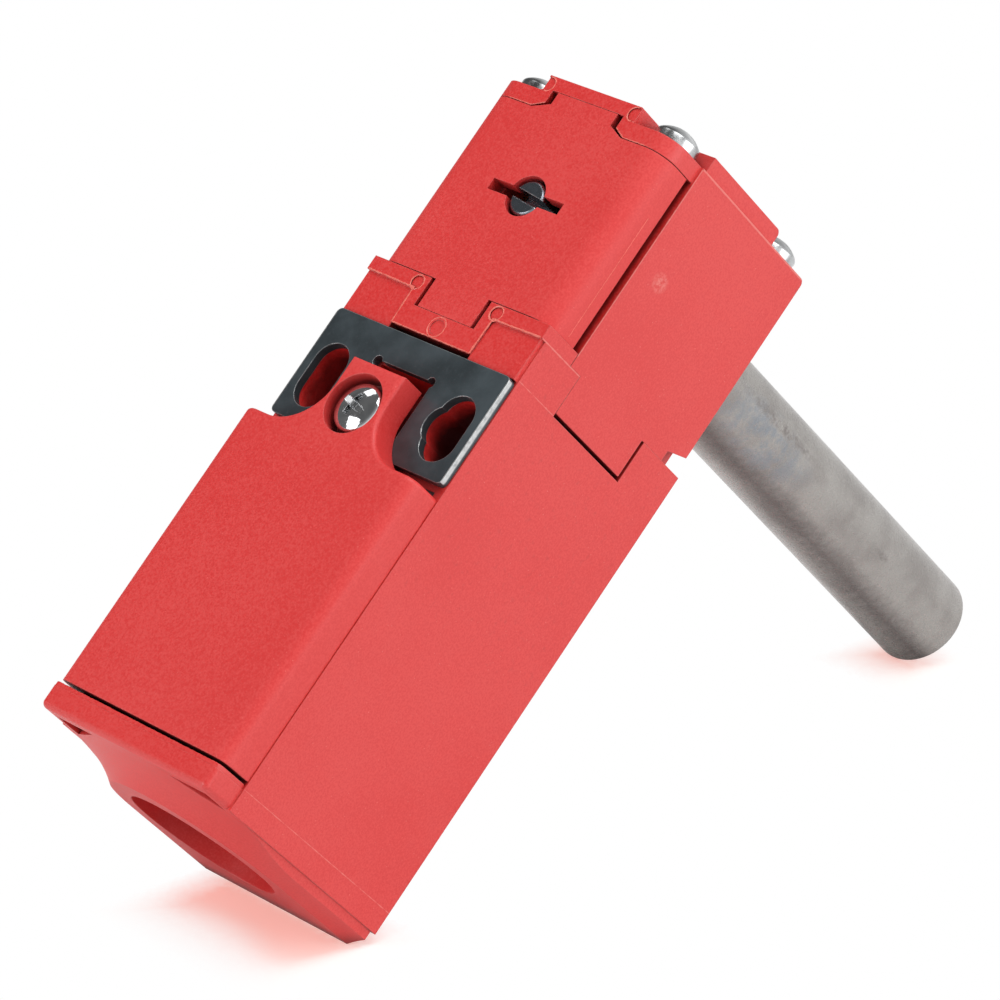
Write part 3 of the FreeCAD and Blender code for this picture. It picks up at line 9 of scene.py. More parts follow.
import bmesh
import bpy
from mathutils import Matrix, Vector


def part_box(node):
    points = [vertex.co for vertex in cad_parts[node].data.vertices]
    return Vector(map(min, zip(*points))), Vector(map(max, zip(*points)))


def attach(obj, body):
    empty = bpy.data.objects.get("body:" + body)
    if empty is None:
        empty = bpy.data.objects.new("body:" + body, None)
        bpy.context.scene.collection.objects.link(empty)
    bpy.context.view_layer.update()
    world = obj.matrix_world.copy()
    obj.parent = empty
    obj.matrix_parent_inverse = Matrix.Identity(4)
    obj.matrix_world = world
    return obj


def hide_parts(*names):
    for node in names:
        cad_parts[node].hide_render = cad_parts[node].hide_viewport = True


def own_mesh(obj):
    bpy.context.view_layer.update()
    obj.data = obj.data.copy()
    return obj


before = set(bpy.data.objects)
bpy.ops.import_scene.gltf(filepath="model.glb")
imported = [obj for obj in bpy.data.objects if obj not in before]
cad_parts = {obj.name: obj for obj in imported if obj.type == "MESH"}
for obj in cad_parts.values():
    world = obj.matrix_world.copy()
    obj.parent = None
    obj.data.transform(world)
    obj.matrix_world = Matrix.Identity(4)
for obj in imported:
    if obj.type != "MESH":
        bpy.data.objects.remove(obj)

LOG = logging.getLogger("hinge_switch")
MM = 0.001
# Places of the colour sockets on a mix node
COLOUR_A, COLOUR_B, COLOUR_RESULT = 6, 7, 2

Socket = bpy.types.NodeSocket
Value = Union[float, Socket]
Colour = tuple[float, float, float]
Point = tuple[float, float, float]
Row = list[bmesh.types.BMVert]


# Colours and node trees


def linear(red: int, green: int, blue: int) -> Colour:
    """Turns a colour as seen on a screen into the linear colour that a shader takes.

    Args:
        red: Red, from 0 to 255.
        green: Green, from 0 to 255.
        blue: Blue, from 0 to 255.

    Returns:
        The three linear values.
    """
    shares = [channel / 255.0 for channel in (red, green, blue)]
    return tuple(s / 12.92 if s <= 0.04045 else ((s + 0.055) / 1.055) ** 2.4 for s in shares)


def opaque(colour: Colour) -> tuple[float, float, float, float]:
    """The colour with full alpha, as a colour socket takes it."""
    return (*colour, 1.0)


class SocketKind(Enum):
    """The kinds of socket that the node groups have."""

    NUMBER = "NodeSocketFloat"
    VECTOR = "NodeSocketVector"


class Effect(Enum):
    """The node groups that the finishes share."""

    SPECKS = "pale_specks"
    MOTTLE = "mottle"
    SOFT_EDGE = "soft_edge"
    REGION = "ragged_region"
    SPOT = "worn_spot"
    SCRATCHES = "fine_scratches"
    GAP = "deep_gap"


class Bench:
    """A node tree, with short ways to add and join its nodes."""

    def __init__(self, tree: bpy.types.NodeTree) -> None:
        """Starts from an empty tree."""
        self.tree = tree
        self.tree.nodes.clear()

    def add(self, kind: str, **settings: object) -> bpy.types.Node:
        """Adds a node.

        Args:
            kind: The node's type name without its common prefix.
            settings: Properties set on the node.

        Returns:
            The new node.
        """
        node = self.tree.nodes.new("ShaderNode" + kind)
        for name, value in settings.items():
            setattr(node, name, value)
        return node

    def feed(self, target: Socket, value: object) -> None:
        """Joins a socket to the target, or sets a plain value on it.

        Args:
            target: The socket that takes it.
            value: A socket, number, vector or colour.
        """
        if isinstance(value, bpy.types.NodeSocket):
            self.tree.links.new(value, target)
        else:
            target.default_value = value

    def math(self, operation: str, first: Value, second: Value = 0.0, clamp: bool = False) -> Socket:
        """Adds a math node.

        Args:
            operation: The node's operation.
            first: First number or socket.
            second: Second number or socket.
            clamp: Whether the result stays between 0 and 1.

        Returns:
            The socket of the result.
        """
        node = self.add("Math", operation=operation, use_clamp=clamp)
        self.feed(node.inputs[0], first)
        self.feed(node.inputs[1], second)
        return node.outputs[0]

    def vector_math(self, operation: str, first: object, second: object) -> bpy.types.Node:
        """Adds a vector math node.

        Args:
            operation: The node's operation.
            first: First vector or socket.
            second: Second vector or socket.

        Returns:
            The new node.
        """
        node = self.add("VectorMath", operation=operation)
        self.feed(node.inputs[0], first)
        self.feed(node.inputs[1], second)
        return node

    def ramp(self, value: Socket, low: float, high: float, start: float = 0.0, end: float = 1.0) -> Socket:
        """Maps a value smoothly from one range to another.

        Args:
            value: The value to map.
            low: Where the mapped range starts.
            high: Where the mapped range ends.
            start: Result at the low end.
            end: Result at the high end.

        Returns:
            The socket of the result.
        """
        node = self.add("MapRange", interpolation_type="SMOOTHSTEP")
        for name, number in (("From Min", low), ("From Max", high), ("To Min", start), ("To Max", end)):
            self.feed(node.inputs[name], number)
        self.feed(node.inputs["Value"], value)
        return node.outputs["Result"]

    def mix(self, share: Socket, first: object, second: object, blend: str = "MIX") -> Socket:
        """Mixes two colours.

        Args:
            share: How much of the second colour is used.
            first: First colour or socket.
            second: Second colour or socket.
            blend: The way the colours are combined.

        Returns:
            The socket of the mixed colour.
        """
        node = self.add("Mix", data_type="RGBA", blend_type=blend)
        self.feed(node.inputs["Factor"], share)
        self.feed(node.inputs[COLOUR_A], first)
        self.feed(node.inputs[COLOUR_B], second)
        return node.outputs[COLOUR_RESULT]

    def noise(self, place: Socket, scale: Value, detail: float = 2.0, rough: float = 0.5) -> Socket:
        """Adds a noise texture.

        Args:
            place: The coordinates it is read at.
            scale: Its scale.
            detail: Octaves of finer noise.
            rough: Strength of the finer noise.

        Returns:
            The socket of the noise value.
        """
        node = self.add("TexNoise")
        self.feed(node.inputs["Vector"], place)
        self.feed(node.inputs["Scale"], scale)
        self.feed(node.inputs["Detail"], detail)
        self.feed(node.inputs["Roughness"], rough)
        return node.outputs["Fac"]

    def place(self) -> Socket:
        """The object's own coordinates in millimetres."""
        coordinates = self.add("TexCoord")
        return self.vector_math("MULTIPLY", coordinates.outputs["Object"], (1.0 / MM,) * 3).outputs[0]


class GroupBench(Bench):
    """A node group with named inputs and outputs."""

    def __init__(self, effect: Effect, inputs: dict[str, SocketKind],
                 outputs: dict[str, SocketKind]) -> None:
        """Makes the group and its sockets.

        Args:
            effect: The effect that the group gives.
            inputs: Kind of each input by its name.
            outputs: Kind of each output by its name.
        """
        super().__init__(bpy.data.node_groups.new(effect.value, "ShaderNodeTree"))
        for way, sockets in (("INPUT", inputs), ("OUTPUT", outputs)):
            for name, kind in sockets.items():
                self.tree.interface.new_socket(name=name, in_out=way, socket_type=kind.value)
        self.start = self.tree.nodes.new("NodeGroupInput").outputs
        self.end = self.tree.nodes.new("NodeGroupOutput").inputs


# Shared effects


class EffectShelf:
    """Builds each shared effect once and places it in materials."""

    def __init__(self) -> None:
        """Starts with no group built."""
        self.groups: dict[Effect, bpy.types.NodeTree] = {}

    def use(self, bench: Bench, effect: Effect, **values: object) -> bpy.types.NodeOutputs:
        """Places an effect in a node tree.

        Args:
            bench: The tree that takes it.
            effect: The effect.
            values: Number, vector or socket of each input by its name.

        Returns:
            The placed group's outputs.
        """
        if effect not in self.groups:
            self.groups[effect] = self.build(effect)
        node = bench.add("Group", node_tree=self.groups[effect])
        for name, value in values.items():
            bench.feed(node.inputs[name], value)
        return node.outputs

    def build(self, effect: Effect) -> bpy.types.NodeTree:
        """Builds the group of an effect.

        Args:
            effect: The effect.

        Returns:
            The node group.
        """
        makers = {
            Effect.SPECKS: self.specks,
            Effect.MOTTLE: self.mottle,
            Effect.SOFT_EDGE: self.soft_edge,
            Effect.REGION: self.region,
            Effect.SPOT: self.spot,
            Effect.SCRATCHES: self.scratches,
            Effect.GAP: self.gap,
        }
        return makers[effect]()

    def specks(self) -> bpy.types.NodeTree:
        """Scattered fine specks, as glass fibre gives at a moulded surface.

        Returns:
            A group whose Mask is one on the specks.
        """
        group = GroupBench(
            Effect.SPECKS,
            {"Pitch": SocketKind.NUMBER, "Share": SocketKind.NUMBER, "Radius": SocketKind.NUMBER},
            {"Mask": SocketKind.NUMBER},
        )
        cells = group.add("TexVoronoi", feature="F1")
        group.feed(cells.inputs["Vector"], group.place())
        group.feed(cells.inputs["Scale"], group.math("DIVIDE", 1.0, group.start["Pitch"]))
        draw = group.add("SeparateColor")
        group.feed(draw.inputs[0], cells.outputs["Color"])
        chosen = group.math("LESS_THAN", draw.outputs[0], group.start["Share"])
        size = group.math("MULTIPLY", draw.outputs[1], group.start["Radius"])
        inside = group.math("SUBTRACT", size, cells.outputs["Distance"])
        body = group.math("DIVIDE", inside, group.start["Radius"], clamp=True)
        group.feed(group.end["Mask"], group.math("MULTIPLY", body, chosen))
        return group.tree

    def mottle(self) -> bpy.types.NodeTree:
        """Slow and fine unevenness of a surface.

        Returns:
            A group with a Broad and a Fine value, each around one half.
        """
        group = GroupBench(
            Effect.MOTTLE,
            {"Broad Size": SocketKind.NUMBER, "Fine Size": SocketKind.NUMBER},
            {"Broad": SocketKind.NUMBER, "Fine": SocketKind.NUMBER},
        )
        place = group.place()
        for name, detail in (("Broad", 3.0), ("Fine", 4.0)):
            scale = group.math("DIVIDE", 1.0, group.start[name + " Size"])
            group.feed(group.end[name], group.noise(place, scale, detail))
        return group.tree

    def soft_edge(self) -> bpy.types.NodeTree:
        """Slightly rounded edges, with a broken mask along them.

        Returns:
            A group with the rounded Normal and the Mask of the edges.
        """
        group = GroupBench(
            Effect.SOFT_EDGE,
            {"Radius": SocketKind.NUMBER, "Gain": SocketKind.NUMBER, "Broken": SocketKind.NUMBER},
            {"Normal": SocketKind.VECTOR, "Mask": SocketKind.NUMBER},
        )
        bevel = group.add("Bevel", samples=6)
        group.feed(bevel.inputs["Radius"], group.math("MULTIPLY", group.start["Radius"], MM))
        flat = group.add("NewGeometry").outputs["Normal"]
        turn = group.vector_math("DOT_PRODUCT", bevel.outputs[0], flat).outputs["Value"]
        bend = group.math("SUBTRACT", 1.0, turn, clamp=True)
        strong = group.math("MULTIPLY", bend, group.start["Gain"], clamp=True)
        uneven = group.ramp(group.noise(group.place(), 0.9, 4.0, 0.65), 0.35, 0.65)
        kept = group.math("SUBTRACT", 1.0, group.math("MULTIPLY", uneven, group.start["Broken"]))
        group.feed(group.end["Mask"], group.math("MULTIPLY", strong, kept))
        group.feed(group.end["Normal"], bevel.outputs[0])
        return group.tree

    def region(self) -> bpy.types.NodeTree:
        """A box in the object's millimetres, with ragged borders.

        Returns:
            A group whose Mask is one inside the box.
        """
        group = GroupBench(
            Effect.REGION,
            {"Low": SocketKind.VECTOR, "High": SocketKind.VECTOR, "Soft": SocketKind.NUMBER,
             "Ragged": SocketKind.NUMBER},
            {"Mask": SocketKind.NUMBER},
        )
        place = group.place()
        below = group.vector_math("SUBTRACT", place, group.start["Low"]).outputs[0]
        above = group.vector_math("SUBTRACT", group.start["High"], place).outputs[0]
        split = group.add("SeparateXYZ")
        group.feed(split.inputs[0], group.vector_math("MINIMUM", below, above).outputs[0])
        inner = group.math("MINIMUM", split.outputs[0], split.outputs[1])
        inner = group.math("MINIMUM", inner, split.outputs[2])
        shift = group.math("SUBTRACT", group.noise(place, 1.4, 3.0, 0.6), 0.5)
        inner = group.math("ADD", inner, group.math("MULTIPLY", shift, group.start["Ragged"]))
        group.feed(group.end["Mask"], group.math("DIVIDE", inner, group.start["Soft"], clamp=True))
        return group.tree

    def spot(self) -> bpy.types.NodeTree:
        """A worn, grainy spot round a point.

        Returns:
            A group whose Mask fades from the middle of the spot.
        """
        group = GroupBench(
            Effect.SPOT,
            {"Middle": SocketKind.VECTOR, "Reach": SocketKind.VECTOR, "Grain": SocketKind.NUMBER},
            {"Mask": SocketKind.NUMBER},
        )
        place = group.place()
        away = group.vector_math("SUBTRACT", place, group.start["Middle"]).outputs[0]
        scaled = group.vector_math("DIVIDE", away, group.start["Reach"]).outputs[0]
        far = group.vector_math("DOT_PRODUCT", scaled, scaled).outputs["Value"]
        near = group.math("SUBTRACT", 1.0, far, clamp=True)
        grain = group.noise(place, group.start["Grain"], 5.0, 0.7)
        group.feed(group.end["Mask"], group.math("MULTIPLY", near, group.ramp(grain, 0.38, 0.62)))
        return group.tree

    def scratches(self) -> bpy.types.NodeTree:
        """Fine marks drawn out along one direction.

        Returns:
            A group with a Value around one half that changes fast across the marks.
        """
        group = GroupBench(
            Effect.SCRATCHES,
            {"Stretch": SocketKind.VECTOR, "Size": SocketKind.NUMBER},
            {"Value": SocketKind.NUMBER},
        )
        drawn = group.vector_math("MULTIPLY", group.place(), group.start["Stretch"]).outputs[0]
        scale = group.math("DIVIDE", 1.0, group.start["Size"])
        group.feed(group.end["Value"], group.noise(drawn, scale, 3.0, 0.6))
        return group.tree

    def gap(self) -> bpy.types.NodeTree:
        """Painted shade in deep corners and narrow gaps, where little light gets in: an occlusion mask that
        darkens the colour.

        Returns:
            A group whose Mask is one in the gaps.
        """
        group = GroupBench(
            Effect.GAP,
            {"Reach": SocketKind.NUMBER, "Open": SocketKind.NUMBER},
            {"Mask": SocketKind.NUMBER},
        )
        near = group.add("AmbientOcclusion", samples=8)
        group.feed(near.inputs["Distance"], group.math("MULTIPLY", group.start["Reach"], MM))
        closed = group.math("SUBTRACT", group.start["Open"], near.outputs["AO"])
        group.feed(group.end["Mask"], group.math("DIVIDE", closed, group.start["Open"], clamp=True))
        return group.tree


SHELF = EffectShelf()


# Finishes


class FinishBench(Bench):
    """The node tree of one material."""

    def __init__(self, name: str) -> None:
        """Makes a material with an unlinked surface shader.

        Args:
            name: The material's name.
        """
        self.material = bpy.data.materials.new(name)
        self.material.use_nodes = True
        super().__init__(self.material.node_tree)
        self.surface = self.add("BsdfPrincipled")
        output = self.tree.nodes.new("ShaderNodeOutputMaterial")
        self.tree.links.new(self.surface.outputs[0], output.inputs["Surface"])

    def set(self, **values: object) -> None:
        """Feeds the surface's sockets, named with underscores for spaces."""
        for name, value in values.items():
            self.feed(self.surface.inputs[name.replace("_", " ")], value)

    def tint(self, colour: Socket, mask: Socket, share: float, over: Colour) -> Socket:
        """Lays a colour over another one by a share of a mask."""
        return self.mix(self.math("MULTIPLY", mask, share), colour, opaque(over))

    def relief(self, height: Socket, depth: float, normal: Socket) -> None:
        """Gives the surface a relief.

        Args:
            height: Height over the surface.
            depth: Distance in millimetres that a height of one stands for.
            normal: The normal that the relief is laid on.
        """
        bump = self.add("Bump")
        self.feed(bump.inputs["Strength"], 1.0)
        self.feed(bump.inputs["Distance"], depth * MM)
        self.feed(bump.inputs["Height"], height)
        self.feed(bump.inputs["Normal"], normal)
        self.set(Normal=bump.outputs["Normal"])


@dataclass(frozen=True)
class Box:
    """A box in millimetres, for a mark on a surface."""

    low: Point
    high: Point

    def both_sides(self) -> tuple["Box", "Box"]:
        """The box and its mirror image on the other side."""
        return self, Box((-self.high[0], *self.low[1:]), (-self.low[0], *self.high[1:]))


@dataclass(frozen=True)
class Spot:
    """A rounded spot in millimetres, for a mark on a surface."""

    middle: Point
    reach: Point


@dataclass(frozen=True)
class MouldedRed:
    """Red glass-filled plastic, satin, with a fine grain, sparse specks and pale mould edges."""

    name: str
    body: Colour = linear(228, 62, 59)
    deep: Colour = linear(220, 38, 36)
    pale: Colour = linear(238, 146, 136)
    # Colour of painted shade, laid in deep gaps and inside the fixing tunnels.
    painted_shade: Colour = linear(48, 6, 6)
    roughness: float = 0.42
    grain_depth: float = 0.009
    edge_radius: float = 0.14
    edge_share: float = 0.5
    line_share: float = 0.55
    scuff_share: float = 0.6
    speck_share: float = 0.6
    painted_shade_share: float = 0.95
    lines: tuple[Box, ...] = ()
    scuffs: tuple[Spot, ...] = ()
    # Boxes where painted shade darkens the inside of deep recesses.
    shades: tuple[Box, ...] = ()

    def marks(self, bench: FinishBench, edge: Socket) -> Socket:
        """Joins the pale marks of the surface.

        Args:
            bench: The material's tree.
            edge: Mask of the edges.

        Returns:
            A mask of the edges, mould lines and scuffs.
        """
        marks = bench.math("MULTIPLY", edge, self.edge_share)
        for line in self.lines:
            mask = SHELF.use(bench, Effect.REGION, Low=line.low, High=line.high, Soft=0.06, Ragged=0.16)
            marks = bench.math("MAXIMUM", marks, bench.math("MULTIPLY", mask["Mask"], self.line_share))
        for scuff in self.scuffs:
            mask = SHELF.use(bench, Effect.SPOT, Middle=scuff.middle, Reach=scuff.reach, Grain=2.2)
            marks = bench.math("MAXIMUM", marks, bench.math("MULTIPLY", mask["Mask"], self.scuff_share))
        return marks

    def build(self) -> bpy.types.Material:
        """Builds the material.

        Returns:
            The red finish.
        """
        bench = FinishBench(self.name)
        mottle = SHELF.use(bench, Effect.MOTTLE, **{"Broad Size": 14.0, "Fine Size": 0.2})
        specks = SHELF.use(bench, Effect.SPECKS, Pitch=0.42, Share=0.2, Radius=0.2)["Mask"]
        edge = SHELF.use(bench, Effect.SOFT_EDGE, Radius=self.edge_radius, Gain=2.6, Broken=0.75)
        # Occlusion mask of deep gaps, used below for painted shade.
        gap = SHELF.use(bench, Effect.GAP, Reach=3.5, Open=0.55)["Mask"]
        grain = bench.math("ADD", bench.math("MULTIPLY", mottle["Fine"], 0.7),
                           bench.math("MULTIPLY", mottle["Broad"], 0.3))
        colour = bench.mix(bench.ramp(grain, 0.36, 0.64), opaque(self.deep), opaque(self.body))
        colour = bench.mix(self.marks(bench, edge["Mask"]), colour, opaque(self.pale))
        colour = bench.tint(colour, specks, self.speck_share, self.pale)
        # Painted shade: darker where the occlusion mask finds gaps, and inside the tunnel boxes.
        colour = bench.tint(colour, gap, self.painted_shade_share, self.painted_shade)
        for shade in self.shades:
            mask = SHELF.use(bench, Effect.REGION, Low=shade.low, High=shade.high, Soft=2.0, Ragged=1.2)
            colour = bench.tint(colour, mask["Mask"], self.painted_shade_share, self.painted_shade)
        rough = bench.ramp(mottle["Fine"], 0.25, 0.75, self.roughness - 0.06, self.roughness + 0.08)
        bench.set(Base_Color=colour, Roughness=rough, Metallic=0.0, IOR=1.66)
        height = bench.math("ADD", mottle["Fine"], bench.math("MULTIPLY", specks, 0.4))
        bench.relief(height, self.grain_depth, edge["Normal"])
        return bench.material


@dataclass(frozen=True)
class OxidePlate:
    """Blackened steel sheet with bare sheared edges and worn slots."""

    name: str
    dark: Colour = linear(60, 68, 72)
    bluish: Colour = linear(82, 92, 97)
    bare: Colour = linear(206, 208, 208)
    half_width: float = 12.08
    side_skin: float = 0.12
    sheared_depth: float = 25.4
    sheared_soft: float = 0.1
    worn_share: float = 0.85
    grain_depth: float = 0.01

    def build(self) -> bpy.types.Material:
        """Builds the material.

        Returns:
            The blackened finish.
        """
        bench = FinishBench(self.name)
        mottle = SHELF.use(bench, Effect.MOTTLE, **{"Broad Size": 5.0, "Fine Size": 0.3})
        drawn = SHELF.use(bench, Effect.SCRATCHES, Stretch=(0.4, 1.0, 1.0), Size=0.5)["Value"]
        edge = SHELF.use(bench, Effect.SOFT_EDGE, Radius=0.14, Gain=6.0, Broken=0.7)
        colour = bench.mix(bench.ramp(mottle["Broad"], 0.35, 0.7), opaque(self.dark), opaque(self.bluish))
        colour = bench.mix(bench.ramp(mottle["Fine"], 0.55, 0.8, 0.0, 0.4), colour, opaque(self.bluish))
        split = bench.add("SeparateXYZ")
        bench.feed(split.inputs[0], bench.place())
        across = bench.math("ABSOLUTE", split.outputs[0])
        side = bench.math("GREATER_THAN", across, self.half_width - self.side_skin)
        bright = bench.ramp(split.outputs[1], self.sheared_soft - self.sheared_depth,
                            -self.sheared_soft - self.sheared_depth)
        bright = bench.math("MULTIPLY", bright, bench.ramp(drawn, 0.25, 0.6, 0.6, 1.0))
        streak = bench.math("MULTIPLY", side, bright)
        worn = bench.math("MAXIMUM", bench.math("MULTIPLY", edge["Mask"], self.worn_share), streak)
        colour = bench.mix(worn, colour, opaque(self.bare))
        rough = bench.ramp(mottle["Fine"], 0.3, 0.7, 0.3, 0.42)
        bench.set(Base_Color=colour, Roughness=rough, Metallic=bench.ramp(worn, 0.0, 1.0, 0.35, 1.0))
        bench.relief(bench.math("ADD", drawn, mottle["Fine"]), self.grain_depth, edge["Normal"])
        return bench.material


@dataclass(frozen=True)
class HandledSteel:
    """Plain satin steel with faint smudges, fine marks and a brown band painted where it mirrors the shaded
    floor.
    """

    name: str
    body: Colour = linear(171, 167, 163)
    dark: Colour = linear(136, 130, 127)
    bluish: Colour = linear(140, 147, 156)
    reflection_brown: Colour = linear(104, 96, 94)
    bright: Colour = linear(204, 203, 201)
    roughness: float = 0.27
    grain_depth: float = 0.0015
    painted_reflection_share: float = 0.75
    smudge_share: float = 0.8
    smudges: tuple[Spot, ...] = ()
    pits: tuple[Spot, ...] = ()
    # Boxes of a brown band, painted along the lower side where the shaft mirrors the shaded floor.
    painted_reflection_band: tuple[Box, ...] = ()
    ground: tuple[Box, ...] = ()

    def build(self) -> bpy.types.Material:
        """Builds the material.

        Returns:
            The steel finish.
        """
        bench = FinishBench(self.name)
        mottle = SHELF.use(bench, Effect.MOTTLE, **{"Broad Size": 5.0, "Fine Size": 0.45})
        drawn = SHELF.use(bench, Effect.SCRATCHES, Stretch=(1.0, 0.4, 1.0), Size=0.8)["Value"]
        edge = SHELF.use(bench, Effect.SOFT_EDGE, Radius=0.2, Gain=3.0, Broken=0.4)
        colour = bench.mix(bench.ramp(mottle["Broad"], 0.3, 0.62, 0.55, 0.0), opaque(self.body),
                           opaque(self.dark))
        colour = bench.mix(bench.ramp(mottle["Fine"], 0.55, 0.8, 0.0, 0.3), colour, opaque(self.dark))
        colour = bench.mix(bench.ramp(drawn, 0.6, 0.8, 0.0, 0.12), colour, opaque(self.bright))
        # Painted reflection: a brown band that stands in for the shaft's dark mirror image of the shaded
        # floor.
        for band in self.painted_reflection_band:
            mask = SHELF.use(bench, Effect.REGION, Low=band.low, High=band.high, Soft=1.6, Ragged=1.2)
            colour = bench.tint(colour, mask["Mask"], self.painted_reflection_share, self.reflection_brown)
        for end in self.ground:
            mask = SHELF.use(bench, Effect.REGION, Low=end.low, High=end.high, Soft=0.3, Ragged=0.2)
            colour = bench.mix(mask["Mask"], colour, opaque(self.bluish))
        for smudge in self.smudges:
            mask = SHELF.use(bench, Effect.SPOT, Middle=smudge.middle, Reach=smudge.reach, Grain=0.5)
            colour = bench.tint(colour, mask["Mask"], self.smudge_share, self.bluish)
        for pit in self.pits:
            mask = SHELF.use(bench, Effect.SPOT, Middle=pit.middle, Reach=pit.reach, Grain=1.6)
            colour = bench.mix(mask["Mask"], colour, opaque(self.dark))
        colour = bench.mix(edge["Mask"], colour, opaque(self.bright))
        rough = bench.ramp(mottle["Fine"], 0.3, 0.7, self.roughness - 0.03, self.roughness + 0.03)
        bench.set(Base_Color=colour, Roughness=rough, Metallic=1.0)
        bench.relief(bench.math("ADD", drawn, mottle["Fine"]), self.grain_depth, edge["Normal"])
        return bench.material


@dataclass(frozen=True)
class PlatedMetal:
    """Bright plated metal, nearly a mirror, with light handling marks."""

    name: str
    body: Colour = linear(238, 239, 240)
    dull: Colour = linear(212, 214, 216)
    roughness: float = 0.07
    # Colour of painted shade in the recesses.
    painted_shade: Colour = linear(60, 58, 56)
    painted_shade_share: float = 0.6
    grain_depth: float = 0.003

    def build(self) -> bpy.types.Material:
        """Builds the material.

        Returns:
            The plated finish.
        """
        bench = FinishBench(self.name)
        mottle = SHELF.use(bench, Effect.MOTTLE, **{"Broad Size": 1.6, "Fine Size": 0.25})
        edge = SHELF.use(bench, Effect.SOFT_EDGE, Radius=0.06, Gain=2.0, Broken=0.5)
        gap = SHELF.use(bench, Effect.GAP, Reach=0.6, Open=0.5)["Mask"]
        colour = bench.mix(bench.ramp(mottle["Broad"], 0.35, 0.7), opaque(self.body), opaque(self.dull))
        # Painted shade: darker where the occlusion mask finds recesses.
        colour = bench.tint(colour, gap, self.painted_shade_share, self.painted_shade)
        rough = bench.ramp(mottle["Fine"], 0.3, 0.7, self.roughness - 0.03, self.roughness + 0.06)
        bench.set(Base_Color=colour, Roughness=rough, Metallic=1.0)
        bench.relief(mottle["Fine"], self.grain_depth, edge["Normal"])
        return bench.material


@dataclass(frozen=True)
class PlainMoulding:
    """A softly uneven rubber or inner plastic."""

    name: str
    body: Colour
    worn: Colour
    roughness: float
    edge_share: float = 0.5
    grain_depth: float = 0.02

    def build(self) -> bpy.types.Material:
        """Builds the material.

        Returns:
            The moulded finish.
        """
        bench = FinishBench(self.name)
        mottle = SHELF.use(bench, Effect.MOTTLE, **{"Broad Size": 3.0, "Fine Size": 0.2})
        edge = SHELF.use(bench, Effect.SOFT_EDGE, Radius=0.12, Gain=2.0, Broken=0.6)
        colour = bench.mix(bench.ramp(mottle["Broad"], 0.3, 0.7), opaque(self.body), opaque(self.worn))
        colour = bench.tint(colour, edge["Mask"], self.edge_share, self.worn)
        rough = bench.ramp(mottle["Fine"], 0.3, 0.7, self.roughness - 0.06, self.roughness + 0.06)
        bench.set(Base_Color=colour, Roughness=rough, Metallic=0.0)
        bench.relief(mottle["Fine"], self.grain_depth, edge["Normal"])
        return bench.material


class Slot(Enum):
    """The material slots of the record."""

    BODY = "red_body"
    COVER = "red_cover"
    HEAD = "red_head"
    PANEL = "red_panel"
    RUBBER = "rubber"
    BRASS = "brass"
    SCREW = "bright_screw"
    PLATE = "dark_plate"
    SHAFT = "shaft_steel"
    INNER_STEEL = "inner_steel"
    SPRING = "spring_steel"
    INNER_PLASTIC = "inner_plastic"


